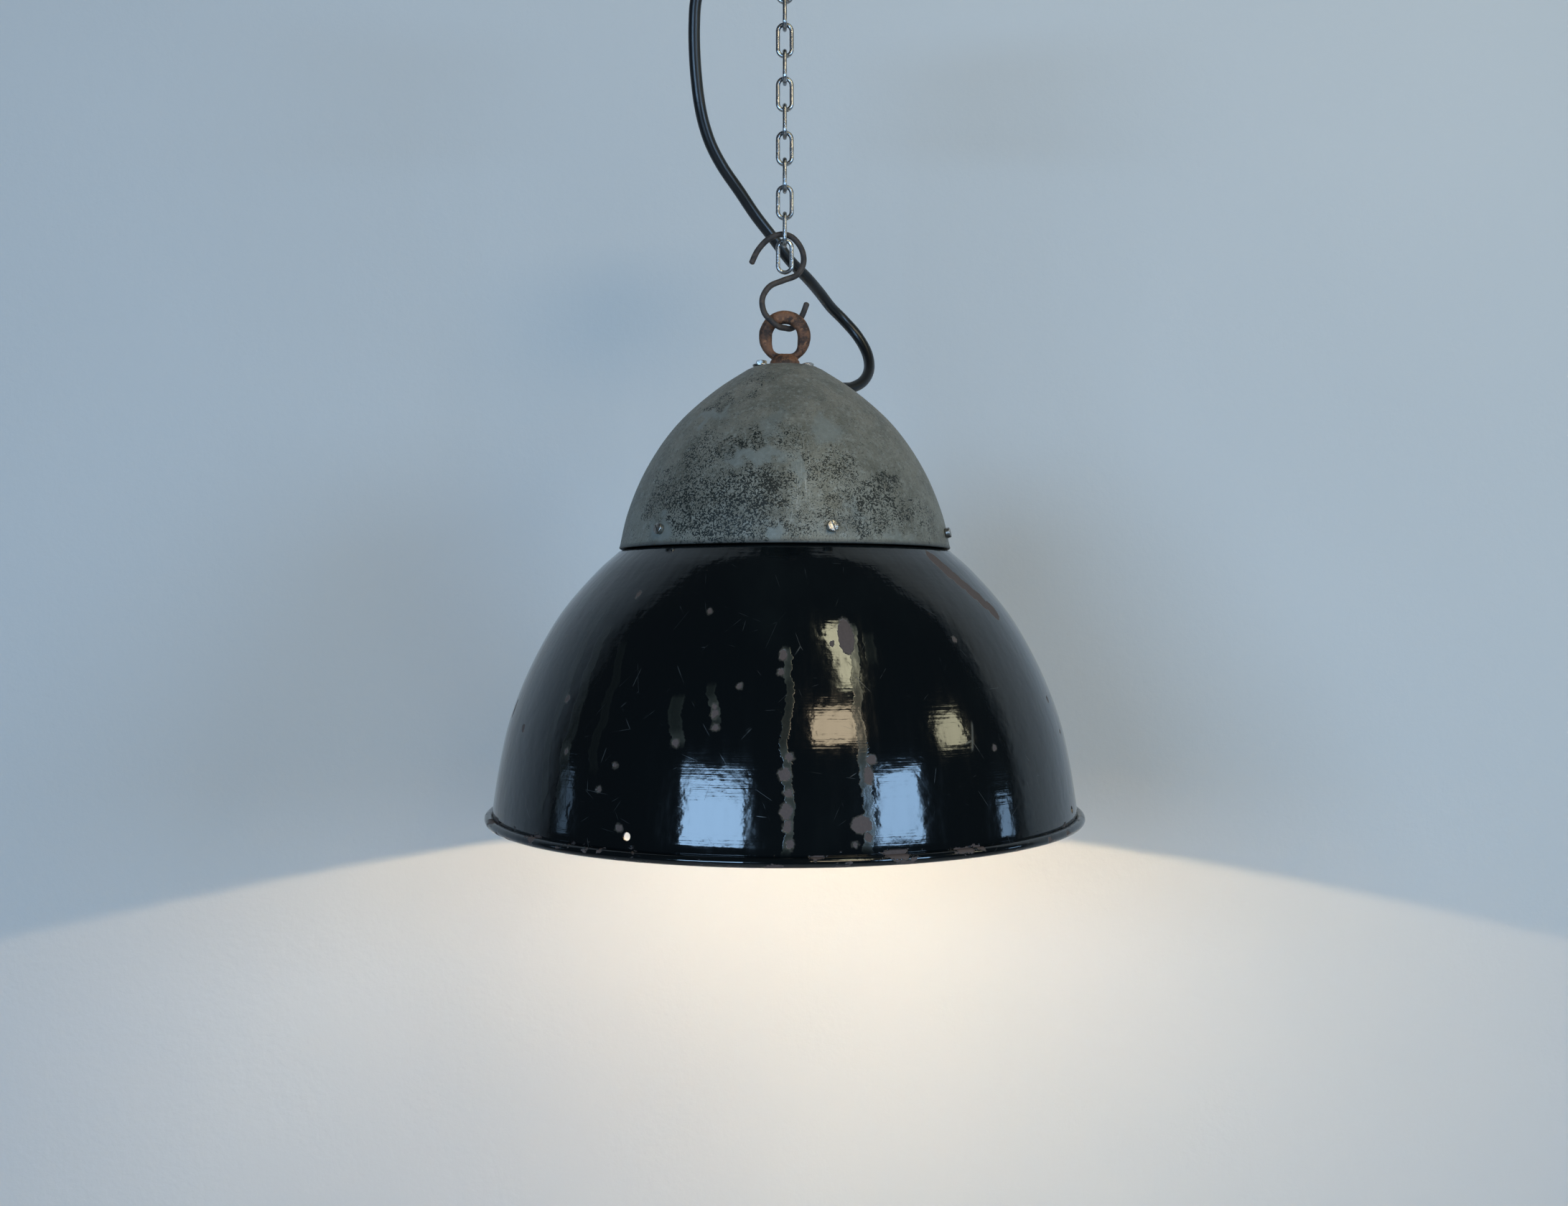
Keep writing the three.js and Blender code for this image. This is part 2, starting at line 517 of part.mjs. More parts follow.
export default lamp;
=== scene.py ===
"""A factory pendant lamp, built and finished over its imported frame.

Metres throughout. The origin is the middle of the ceiling rose's back, +Z is up, -Y is the front.
"""

from __future__ import annotations

import logging
import math
from dataclasses import dataclass, field
from enum import Enum
from typing import Callable, Iterable, Sequence

import bpy
import numpy as np
from mathutils import Matrix, Quaternion, Vector, noise


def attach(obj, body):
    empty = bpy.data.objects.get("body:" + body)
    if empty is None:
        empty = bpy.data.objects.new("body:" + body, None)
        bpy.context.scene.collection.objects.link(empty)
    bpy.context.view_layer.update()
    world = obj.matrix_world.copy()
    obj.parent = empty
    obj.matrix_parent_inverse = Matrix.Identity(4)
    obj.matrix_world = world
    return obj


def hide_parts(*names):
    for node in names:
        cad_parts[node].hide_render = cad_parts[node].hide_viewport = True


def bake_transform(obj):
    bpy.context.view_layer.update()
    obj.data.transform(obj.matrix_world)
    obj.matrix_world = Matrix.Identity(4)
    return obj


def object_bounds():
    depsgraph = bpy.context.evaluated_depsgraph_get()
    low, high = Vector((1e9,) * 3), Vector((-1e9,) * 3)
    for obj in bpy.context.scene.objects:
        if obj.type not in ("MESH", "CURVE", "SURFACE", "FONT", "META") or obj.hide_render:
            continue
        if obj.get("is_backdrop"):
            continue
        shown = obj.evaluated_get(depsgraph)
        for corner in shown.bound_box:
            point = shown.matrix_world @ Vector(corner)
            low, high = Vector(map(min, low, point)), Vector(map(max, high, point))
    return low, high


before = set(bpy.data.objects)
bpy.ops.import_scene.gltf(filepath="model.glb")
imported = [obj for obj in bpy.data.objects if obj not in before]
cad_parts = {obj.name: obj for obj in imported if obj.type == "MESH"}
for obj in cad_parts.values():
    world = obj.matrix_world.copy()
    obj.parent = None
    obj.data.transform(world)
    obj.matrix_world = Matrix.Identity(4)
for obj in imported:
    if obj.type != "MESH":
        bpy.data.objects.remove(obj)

LOG = logging.getLogger("pendant_lamp")
MM = 0.001

Point = Sequence[float]
Ring = list[list[float]]
Socket = bpy.types.NodeSocket
Value = object
Thread = Callable[[float, float], float]
CAD_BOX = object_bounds()


# ---------------------------------------------------------------- names


class Body(Enum):
    """The rigid bodies of the frame that pieces ride on."""

    ROSE = "ceiling_rose"
    TOP_LINK = "chain_top_link"
    CHAIN = "chain"
    HOOK = "s_hook"
    END_LINK = "chain_end_link"
    LAMP = "lamp"
    BULB = "bulb"


class Slot(Enum):
    """The record's material slots."""

    ROSE_ENAMEL = "rose_enamel"
    ZINC = "zinc_steel"
    SCREW = "screw_steel"
    DARK_IRON = "dark_iron"
    RUSTY_IRON = "rusty_iron"
    CAST_ALUMINIUM = "cast_aluminium"
    BLACK_ENAMEL = "black_enamel"
    RUBBER = "black_rubber"
    PORCELAIN = "porcelain"
    BRASS = "brass"
    BAKELITE = "bakelite"
    LIVE = "brown_insulation"
    NEUTRAL = "blue_insulation"
    GLASS = "bulb_glass"


# ---------------------------------------------------------------- shader graphs


class Graph:
    """One material's node tree around a Principled shader, written as plain sums of patterns."""

    def __init__(self, name: str, attribute: str = "") -> None:
        """Make an empty material.

        Args:
            name: The material's name.
            attribute: The mesh attribute its patterns follow, or nothing for the object's own coordinates.
        """
        self.material = bpy.data.materials.new(name)
        self.material.use_nodes = True
        self.tree = self.material.node_tree
        self.tree.nodes.clear()
        self.shader = self.tree.nodes.new("ShaderNodeBsdfPrincipled")
        output = self.tree.nodes.new("ShaderNodeOutputMaterial")
        self.tree.links.new(self.shader.outputs["BSDF"], output.inputs["Surface"])
        if attribute:
            self.place = self.node("ShaderNodeAttribute", {}, attribute_name=attribute).outputs["Vector"]
        else:
            self.place = self.tree.nodes.new("ShaderNodeTexCoord").outputs["Object"]

    def unrolled(self, girth: float) -> Socket:
        """Return the place on a round body as girth, nothing and height, so that marks keep their shape."""
        parts = self.node("ShaderNodeSeparateXYZ", {0: self.place}).outputs
        turn = self.math("ARCTAN2", parts[0], self.math("MULTIPLY", parts[1], -1.0))
        along = self.math("MULTIPLY", turn, girth)
        return self.node("ShaderNodeCombineXYZ", {0: along, 2: parts[2]}).outputs[0]

    def height(self) -> Socket:
        """Return the height above the object's origin."""
        return self.node("ShaderNodeSeparateXYZ", {0: self.place}).outputs[2]

    def put(self, socket: Socket, value: Value) -> None:
        """Link a socket to another, or set it to a number, colour or vector.

        Args:
            socket: The input to fill.
            value: An output socket, or a constant.
        """
        if isinstance(value, Socket):
            self.tree.links.new(value, socket)
        elif isinstance(value, (tuple, list)) and socket.type == "RGBA" and len(value) == 3:
            socket.default_value = (*value, 1.0)
        else:
            socket.default_value = value

    def node(self, kind: str, inputs: dict[int | str, Value], **settings: object) -> bpy.types.Node:
        """Add a node.

        Args:
            kind: The node's type name.
            inputs: Values by input name or number.
            **settings: The node's own properties.

        Returns:
            The new node.
        """
        made = self.tree.nodes.new(kind)
        for key, setting in settings.items():
            setattr(made, key, setting)
        for key, value in inputs.items():
            self.put(made.inputs[key], value)
        return made

    def math(self, operation: str, a: Value, b: Value = 0.0, clamp: bool = False) -> Socket:
        """Return one sum of two values."""
        return self.node("ShaderNodeMath", {0: a, 1: b}, operation=operation, use_clamp=clamp).outputs[0]

    def vector(self, operation: str, a: Value, b: Value = (0, 0, 0)) -> Socket:
        """Return one sum of two vectors; LENGTH and DISTANCE give a number."""
        made = self.node("ShaderNodeVectorMath", {0: a, 1: b}, operation=operation)
        return made.outputs["Value" if operation in ("LENGTH", "DISTANCE", "DOT_PRODUCT") else "Vector"]

    def scaled(self, vector: Value, factors: Point) -> Socket:
        """Return a vector with each part multiplied by its own factor."""
        return self.vector("MULTIPLY", vector, tuple(factors))

    def noise(self, scale: float, detail: float = 3, rough: float = 0.5, at: Value = None) -> Socket:
        """Return smooth noise from 0 to 1.

        Args:
            scale: Features per metre.
            detail: How many finer layers it has.
            rough: How strong the finer layers are.
            at: Where it is read; object coordinates by default.

        Returns:
            The noise value's socket.
        """
        vector = self.place if at is None else at
        values = {"Vector": vector, "Scale": scale, "Detail": detail, "Roughness": rough}
        return self.node("ShaderNodeTexNoise", values).outputs[0]

    def cells(self, scale: float, feature: str = "F1", at: Value = None) -> Socket:
        """Return the distance field of scattered cells, as features per metre."""
        vector = self.place if at is None else at
        made = self.node("ShaderNodeTexVoronoi", {"Vector": vector, "Scale": scale}, feature=feature)
        return made.outputs["Distance"]

    def step(self, value: Value, low: float, high: float) -> Socket:
        """Return a soft step that is 0 at low and 1 at high, whichever is larger."""
        inputs = {"Value": value, "From Min": low, "From Max": high}
        return self.node("ShaderNodeMapRange", inputs, interpolation_type="SMOOTHSTEP").outputs["Result"]

    def between(self, value: Value, a: float, b: float) -> Socket:
        """Return a plain ramp of a 0 to 1 value onto a to b."""
        inputs = {"Value": value, "To Min": a, "To Max": b}
        return self.node("ShaderNodeMapRange", inputs).outputs["Result"]

    def blend(self, share: Value, a: Value, b: Value) -> Socket:
        """Return colour a turning to colour b as share goes from 0 to 1."""
        made = self.node("ShaderNodeMix", {}, data_type="RGBA")
        self.put(made.inputs[0], share)
        self.put(made.inputs[6], a)
        self.put(made.inputs[7], b)
        return made.outputs[2]

    def bump(self, height: Value, depth: float, below: Value = None) -> Socket:
        """Return a normal tipped by a height.

        Args:
            height: The pattern, from 0 to 1.
            depth: How deep the pattern is, in metres.
            below: The normal of a bump that this one lies on.

        Returns:
            The normal's socket.
        """
        inputs = {"Height": height, "Distance": depth}
        made = self.node("ShaderNodeBump", inputs)
        if below is not None:
            self.put(made.inputs["Normal"], below)
        return made.outputs["Normal"]

    def finish(self, **values: Value) -> bpy.types.Material:
        """Fill the Principled shader's inputs, named with underscores, and return the material."""
        for key, value in values.items():
            self.put(self.shader.inputs[key.replace("_", " ")], value)
        return self.material


# ---------------------------------------------------------------- finishes


@dataclass(frozen=True)
class Metal:
    """A metal with mottled colour, uneven polish and a fine grain."""

    name: str
    light: tuple[float, float, float]
    dark: tuple[float, float, float]
    metallic: float = 1.0
    smooth: float = 0.25
    rough: float = 0.5
    grain: float = 900.0
    depth: float = 0.00006
    mottle: float = 120.0

    def build(self) -> bpy.types.Material:
        """Make the material."""
        g = Graph(self.name)
        patches = g.step(g.noise(self.mottle, 5, 0.6), 0.35, 0.68)
        fine = g.noise(self.grain, 3, 0.6)
        share = g.math("ADD", g.math("MULTIPLY", patches, 0.75), g.math("MULTIPLY", fine, 0.3), clamp=True)
        return g.finish(
            Base_Color=g.blend(share, self.light, self.dark),
            Metallic=self.metallic,
            Roughness=g.between(share, self.smooth, self.rough),
            Normal=g.bump(fine, self.depth, g.bump(patches, self.depth * 2)),
        )


@dataclass(frozen=True)
class Rust:
    """Old iron under scaly rust, from dark scale to orange dust."""

    name: str
    scale: tuple[float, float, float] = (0.045, 0.024, 0.016)
    brown: tuple[float, float, float] = (0.20, 0.085, 0.040)
    dust: tuple[float, float, float] = (0.36, 0.16, 0.070)
    depth: float = 0.0003

    def build(self) -> bpy.types.Material:
        """Make the material."""
        g = Graph(self.name)
        broad = g.noise(110, 5, 0.65)
        pits = g.noise(620, 5, 0.7)
        spots = g.step(g.noise(330, 4, 0.6, g.vector("ADD", g.place, (3.1, 1.7, 0.4))), 0.55, 0.7)
        base = g.blend(g.step(broad, 0.38, 0.6), self.scale, self.brown)
        colour = g.blend(g.math("MULTIPLY", spots, 0.75), base, self.dust)
        colour = g.blend(g.step(pits, 0.42, 0.3), colour, self.scale)
        return g.finish(
            Base_Color=colour,
            Metallic=0.15,
            Roughness=g.between(broad, 0.82, 0.5),
            Normal=g.bump(pits, self.depth, g.bump(broad, self.depth * 2.5)),
        )


@dataclass(frozen=True)
class Plain:
    """A moulded, glazed or rubbery finish, with a slight change of shade and polish over it."""

    name: str
    colour: tuple[float, float, float]
    rough: float = 0.5
    spread: float = 0.12
    grain: float = 1500.0
    depth: float = 0.00003
    coat: float = 0.0
    attribute: str = ""

    def build(self) -> bpy.types.Material:
        """Make the material."""
        g = Graph(self.name, self.attribute)
        drift = g.noise(70, 4, 0.6)
        darker = tuple(c * 0.72 for c in self.colour)
        return g.finish(
            Base_Color=g.blend(g.step(drift, 0.35, 0.7), self.colour, darker),
            Roughness=g.between(drift, self.rough - self.spread, self.rough + self.spread),
            Coat_Weight=self.coat,
            Normal=g.bump(g.noise(self.grain, 3), self.depth),
        )


@dataclass(frozen=True)
class Mark:
    """A mark on the shade: its turn from the front, height, half width and height over width."""

    turn: float
    height: float
    size: float
    tall: float = 1.0


@dataclass(frozen=True)
class Trail:
    """A dried run of liquid down the shade."""

    turn: float
    top: float
    foot: float
    half_width: float
    strength: float


@dataclass(frozen=True)
class BlackEnamel:
    """Gloss black vitreous enamel with chips, dried runs, scratches and an orange-peel skin."""

    name: str = "black_enamel"
    girth: float = 0.18
    chips: tuple[Mark, ...] = (
        Mark(-0.3, -538, 2.1, 1.3), Mark(-0.7, -547.6, 1.8), Mark(0.8, -594.8, 2.1),
        Mark(0.0, -604.3, 3.1, 1.1), Mark(0.6, -614.5, 2.1), Mark(0.2, -624.5, 2.9, 1.4),
        Mark(0.5, -632.5, 2.0, 1.6), Mark(0.8, -642.5, 1.8, 1.4), Mark(12.7, -527.5, 5.2, 1.9),
        Mark(9.6, -531.4, 1.5), Mark(14.8, -596.7, 2.7), Mark(14.2, -605.3, 2.4, 2.0),
        Mark(12.6, -632.4, 5.2, 0.9), Mark(13.7, -639.4, 1.7, 1.3), Mark(11.4, -643.0, 1.4),
        Mark(51.4, -480.5, 8.0, 0.8), Mark(52.6, -486.5, 8.0, 0.8), Mark(54.4, -493.0, 7.5, 0.8),
        Mark(56.6, -499.5, 7.0, 0.9), Mark(58.8, -505.5, 7.0, 0.9), Mark(61.4, -512.5, 7.5, 0.8),
        Mark(-38.5, -502.5, 1.8), Mark(-17.0, -512.6, 1.5), Mark(-12.8, -567.1, 1.4),
        Mark(-12.6, -571.3, 1.9, 1.2), Mark(-12.2, -578.7, 1.8), Mark(-8.4, -555.7, 1.4),
        Mark(-19.3, -588.0, 2.1), Mark(-30.8, -602.2, 1.4), Mark(-33.7, -616.3, 1.5),
        Mark(-46.9, -566.1, 1.8), Mark(-43.1, -596.5, 1.4), Mark(38.9, -530.1, 1.5),
        Mark(40.9, -594.3, 1.3), Mark(-61.5, -587.0, 2.4), Mark(-74.7, -577.7, 2.6, 2.2),
        Mark(69.4, -570.5, 2.0), Mark(71.7, -592.0, 1.7), Mark(-28.6, -637.2, 1.9),
        Mark(140, -560, 3.0), Mark(152, -620, 4.0, 1.4), Mark(-120, -530, 2.4),
        Mark(-135, -600, 3.4, 1.8), Mark(178, -500, 2.2), Mark(-165, -640, 3.6), Mark(110, -632, 2.6),
    )
    trails: tuple[Trail, ...] = (
        Trail(0.5, -532, -650, 2.5, 0.75), Trail(14.0, -519, -650, 3.0, 0.7),
        Trail(-19.8, -560, -592, 4.5, 0.55), Trail(-12.6, -553, -580, 3.0, 0.5),
        Trail(-43.0, -520, -636, 4.5, 0.34), Trail(-48.5, -510, -640, 4.0, 0.3),
        Trail(-36.0, -530, -610, 3.4, 0.22), Trail(17.5, -524, -546, 4.0, 0.3),
        Trail(150, -560, -650, 5.0, 0.6), Trail(-130, -540, -650, 4.4, 0.5),
    )

    def chip_depth(self, g: Graph, at: Socket) -> Socket:
        """Return the distance from the nearest chip's edge, below zero inside it."""
        nearest: Value = 1.0
        for mark in self.chips:
            centre = (math.radians(mark.turn) * self.girth, 0.0, mark.height * MM)
            away = g.vector("SUBTRACT", at, centre)
            if mark.tall != 1.0:
                away = g.scaled(away, (1.0, 1.0, 1.0 / mark.tall))
            edge = g.math("SUBTRACT", g.vector("LENGTH", away), mark.size * MM)
            nearest = g.math("MINIMUM", edge, nearest)
        return nearest

    def trail_share(self, g: Graph, at: Socket) -> Socket:
        """Return how much of a dried run lies at each place, with a stronger edge."""
        parts = g.node("ShaderNodeSeparateXYZ", {0: at}).outputs
        total: Value = 0.0
        for number, trail in enumerate(self.trails):
            along = g.node("ShaderNodeCombineXYZ", {0: float(number) * 3.7, 2: parts[2]}).outputs[0]
            wander = g.math("MULTIPLY", g.math("SUBTRACT", g.noise(28, 3, 0.6, along), 0.5), 0.02)
            across = g.math("SUBTRACT", parts[0], math.radians(trail.turn) * self.girth)
            away = g.math("ABSOLUTE", g.math("SUBTRACT", across, wander))
            wide = trail.half_width * MM
            body = g.step(away, wide, wide * 0.82)
            core = g.step(away, wide * 0.35, wide * 0.8)
            lit = g.math("ADD", g.math("MULTIPLY", core, 0.25), 0.75)
            top = g.step(parts[2], trail.top * MM, (trail.top - 4) * MM)
            foot = g.step(parts[2], trail.foot * MM, (trail.foot + 8) * MM)
            share = g.math("MULTIPLY", g.math("MULTIPLY", body, lit), g.math("MULTIPLY", top, foot))
            total = g.math("MAXIMUM", total, g.math("MULTIPLY", share, trail.strength))
        return total

    def scratches(self, g: Graph, at: Socket) -> Socket:
        """Return fine hairline scratches in a few directions."""
        total: Value = 0.0
        for turn, scale, gate in ((0.5, 26.0, 0.56), (-0.7, 40.0, 0.58), (1.3, 33.0, 0.57)):
            values = {"Vector": at, "Axis": (0, 1, 0), "Angle": turn}
            slanted = g.node("ShaderNodeVectorRotate", values).outputs[0]
            long = g.scaled(slanted, (1.0, 1.0, 0.22))
            line = g.step(g.cells(scale, "DISTANCE_TO_EDGE", long), 0.003, 0.0006)
            kept = g.step(g.noise(22 + scale, 2, 0.5, slanted), gate, gate + 0.08)
            total = g.math("MAXIMUM", total, g.math("MULTIPLY", line, kept))
        return total

    def build(self) -> bpy.types.Material:
        """Make the material."""
        g = Graph(self.name)
        at = g.unrolled(self.girth)
        ragged = g.node("ShaderNodeTexNoise", {"Vector": at, "Scale": 420.0, "Detail": 3.0}).outputs["Color"]
        shift = g.scaled(g.vector("SUBTRACT", ragged, (0.5, 0.5, 0.5)), (0.0036, 0.0, 0.0036))
        torn = g.vector("ADD", at, shift)
        depth = self.chip_depth(g, torn)
        bead = g.step(g.height(), -0.6462, -0.6475)
        worn = g.step(g.noise(95, 5, 0.65, g.scaled(at, (0.6, 1, 1))), 0.56, 0.6)
        chip = g.math("MAXIMUM", g.step(depth, 0.0003, -0.0001), g.math("MULTIPLY", worn, bead))
        halo = g.step(depth, 0.0014, 0.0002)
        haze = g.step(depth, 0.007, 0.001)
        trail = self.trail_share(g, torn)
        hair = self.scratches(g, at)
        wiped = g.noise(60, 4, 0.6, g.scaled(at, (2.2, 1, 0.35)))
        peel = g.noise(190, 2, 0.4)
        film = g.step(g.noise(9, 4, 0.55, g.vector("ADD", at, (4.0, 0, 1.0))), 0.5, 0.75)
        black = g.blend(g.math("MULTIPLY", film, 0.6), (0.0025, 0.0038, 0.0045), (0.007, 0.010, 0.010))
        run = g.blend(wiped, (0.014, 0.018, 0.014), (0.036, 0.038, 0.029))
        colour = g.blend(trail, black, run)
        hazy = g.math("MULTIPLY", haze, g.math("MULTIPLY", trail, 0.6))
        colour = g.blend(hazy, colour, (0.085, 0.088, 0.070))
        colour = g.blend(g.math("MULTIPLY", hair, 0.32), colour, (0.10, 0.11, 0.11))
        colour = g.blend(g.math("MULTIPLY", halo, 0.55), colour, (0.095, 0.085, 0.068))
        rust = g.blend(g.noise(700, 4, 0.6), (0.060, 0.041, 0.036), (0.105, 0.074, 0.064))
        colour = g.blend(chip, colour, rust)
        rough = g.math("ADD", 0.075, g.math("MULTIPLY", g.step(wiped, 0.4, 0.8), 0.08))
        rough = g.math("ADD", rough, g.math("MULTIPLY", trail, 0.17))
        rough = g.math("ADD", rough, g.math("MULTIPLY", hair, 0.2))
        rough = g.math("MAXIMUM", rough, g.math("MULTIPLY", chip, 0.7))
        pitted = g.math("MULTIPLY", g.noise(1100, 3, 0.6), chip)
        spun = g.noise(1, 2, 0.6, g.scaled(at, (14, 1, 560)))
        normal = g.bump(spun, 0.00005, g.bump(peel, 0.0001))
        normal = g.bump(g.noise(55, 2, 0.4, g.scaled(at, (1.5, 1, 0.8))), 0.00022, normal)
        normal = g.bump(g.math("MULTIPLY", chip, -1.0), 0.00035, normal)
        normal = g.bump(g.math("ADD", pitted, g.math("MULTIPLY", trail, 0.5)), 0.00012, normal)
        return g.finish(Base_Color=colour, Roughness=rough, Normal=normal)


@dataclass(frozen=True)
class WhiteEnamel:
    """The shade's inner coat: white, a little yellowed, with a few dark specks."""

    name: str = "white_enamel"

    def build(self) -> bpy.types.Material:
        """Make the material."""
        g = Graph(self.name)
        drift = g.step(g.noise(16, 4, 0.6), 0.35, 0.75)
        speck = g.step(g.cells(240), 0.16, 0.10)
        kept = g.math("MULTIPLY", speck, g.step(g.noise(60, 2), 0.55, 0.62))
        colour = g.blend(drift, (0.80, 0.79, 0.74), (0.66, 0.63, 0.55))
        return g.finish(
            Base_Color=g.blend(g.math("MULTIPLY", kept, 0.8), colour, (0.12, 0.09, 0.07)),
            Roughness=g.between(drift, 0.12, 0.3),
            Normal=g.bump(g.noise(150, 2, 0.4), 0.00006),
        )


@dataclass(frozen=True)
class Patch:
    """A cloudy patch on the cap: its turn from the front, height, half width, half height and strength."""

    turn: float
    height: float
    across: float
    up: float
    strength: float


@dataclass(frozen=True)
class CastAluminium:
    """Old raw casting: warm grey, flecked with black where the last of its paint clings, with painted shade
    along its lower lip.
    """

    name: str = "cast_aluminium"
    girth: float = 0.1
    flecked: tuple[Patch, ...] = (
        Patch(-11, -438, 26, 19, 1.0), Patch(-30, -446, 34, 23, 0.9), Patch(-15, -461, 46, 10, 0.8),
        Patch(-51, -438, 14, 20, 0.6), Patch(-16, -404, 18, 5, 0.8), Patch(-25, -409, 13, 7, 0.6),
        Patch(-36, -414, 17, 22, 0.5), Patch(-41, -376, 22, 5, 0.65), Patch(-23, -357, 26, 6, 0.5),
        Patch(-19, -371, 10, 4, 0.6), Patch(1, -400, 12, 9, 0.5), Patch(4, -413, 11, 5, 0.5),
        Patch(17, -423, 19, 11, 0.6), Patch(39, -430, 14, 6, 0.9), Patch(33, -442, 24, 11, 0.8),
        Patch(43, -449, 15, 11, 0.7), Patch(28, -457, 18, 11, 0.6), Patch(15, -449, 11, 11, 0.5),
        Patch(56, -453, 18, 14, 0.3), Patch(120, -440, 40, 24, 0.8), Patch(165, -452, 40, 16, 0.9),
        Patch(-150, -430, 36, 26, 0.7), Patch(-100, -450, 30, 18, 0.6), Patch(150, -395, 30, 16, 0.5),
        Patch(-120, -400, 24, 12, 0.5),
    )
    bare: tuple[Patch, ...] = (
        Patch(-45, -462, 15, 10, 1.0), Patch(-3, -465, 7, 6, 1.0), Patch(-11, -414, 26, 6, 0.9),
        Patch(19, -397, 14, 11, 0.8), Patch(5, -425, 6, 12, 0.8), Patch(-41, -384, 26, 4.5, 0.9),
        Patch(24, -448, 5, 9, 0.7), Patch(-6, -393, 12, 10, 0.6), Patch(42, -467, 13, 4, 0.6),
        Patch(140, -462, 16, 8, 0.9), Patch(-125, -446, 18, 10, 0.9), Patch(175, -420, 20, 9, 0.8),
    )

    def near(self, g: Graph, at: Socket, patches: Iterable[Patch]) -> Socket:
        """Return each place's share of the strongest patch over it."""
        total: Value = 0.0
        for patch in patches:
            away = g.vector("SUBTRACT", at, (math.radians(patch.turn) * self.girth, 0.0, patch.height * MM))
            length = g.vector("LENGTH", g.scaled(away, (1000 / patch.across, 1.0, 1000 / patch.up)))
            total = g.math("MAXIMUM", total, g.math("MULTIPLY", g.step(length, 1.25, 0.45), patch.strength))
        return total

    def build(self) -> bpy.types.Material:
        """Make the material."""
        g = Graph(self.name)
        flat = g.unrolled(self.girth)
        ragged = g.node("ShaderNodeTexNoise", {"Vector": flat, "Scale": 95.0, "Detail": 5.0}).outputs["Color"]
        shift = g.scaled(g.vector("SUBTRACT", ragged, (0.5, 0.5, 0.5)), (0.030, 0.0, 0.030))
        at = g.vector("ADD", flat, shift)
        bare = self.near(g, at, self.bare)
        cloud = g.step(g.noise(120, 5, 0.65), 0.30, 0.72)
        amount = g.math("ADD", g.math("MULTIPLY", self.near(g, at, self.flecked), 0.85), 0.10)
        amount = g.math("MULTIPLY", amount, g.math("ADD", g.math("MULTIPLY", cloud, 0.9), 0.35))
        amount = g.math("MULTIPLY", amount, g.math("SUBTRACT", 1.0, bare))
        curl = g.math("ABSOLUTE", g.math("SUBTRACT", g.noise(540, 1.5, 0.6), 0.5))
        broken = g.step(g.noise(640, 2, 0.6, g.vector("ADD", g.place, (0.7, 0.2, 1.1))), 0.36, 0.52)
        reach = g.math("MULTIPLY", g.math("MULTIPLY", amount, broken), 0.14)
        speck = g.step(g.math("SUBTRACT", curl, reach), 0.006, -0.006)
        tone = g.noise(42, 4, 0.6, g.vector("ADD", g.place, (1.3, 0, 2.0)))
        height = g.height()
        metal = g.blend(g.step(height, -0.46, -0.36), (0.225, 0.22, 0.18), (0.235, 0.215, 0.17))
        metal = g.blend(g.step(tone, 0.36, 0.66), metal, (0.15, 0.143, 0.112))
        dusty = g.step(g.noise(300, 4, 0.7), 0.45, 0.75)
        metal = g.blend(g.math("MULTIPLY", dusty, 0.7), metal, (0.32, 0.325, 0.285))
        metal = g.blend(g.math("MULTIPLY", bare, 0.6), metal, (0.225, 0.25, 0.235))
        # Painted shade: the cap's lowest few millimetres, above the gap where the shade's neck goes in, are
        # darkened in the colour.
        edge = g.step(height, -0.4668, -0.4695)
        metal = g.blend(g.math("MULTIPLY", edge, 0.7), metal, (0.075, 0.075, 0.07))
        scuff = g.noise(1, 3, 0.6, g.scaled(flat, (900, 1, 26)))
        from_scuff = g.scaled(g.vector("SUBTRACT", at, (0.013, 0, -0.425)), (95, 1, 20))
        along = g.step(g.vector("LENGTH", from_scuff), 1.1, 0.2)
        scuffed = g.math("MULTIPLY", g.step(scuff, 0.55, 0.66), along)
        metal = g.blend(g.math("MULTIPLY", scuffed, 0.7), metal, (0.46, 0.45, 0.40))
        colour = g.blend(g.math("MULTIPLY", speck, 0.95), metal, (0.010, 0.013, 0.011))
        normal = g.bump(g.noise(80, 3, 0.5), 0.0005)
        normal = g.bump(g.noise(1000, 3, 0.6), 0.00012, g.bump(speck, 0.00012, normal))
        return g.finish(
            Base_Color=colour,
            Metallic=0.25,
            Roughness=g.between(tone, 0.62, 0.45),
            Normal=normal,
        )


@dataclass(frozen=True)
class LitGlass:
    """Opal bulb glass, lit warm from inside and brightest round its middle."""

    name: str = "bulb_glass"
    colour: tuple[float, float, float] = (1.0, 0.72, 0.40)
    strength: float = 14.0

    def build(self) -> bpy.types.Material:
        """Make the material."""
        g = Graph(self.name)
        height = g.height()
        core = g.step(height, -0.520, -0.558)
        return g.finish(
            Base_Color=(0.9, 0.86, 0.78),
            Roughness=0.18,
            Emission_Color=self.colour,
            Emission_Strength=g.between(core, 0.6, self.strength),
            Normal=g.bump(g.noise(60, 2), 0.00003),
        )


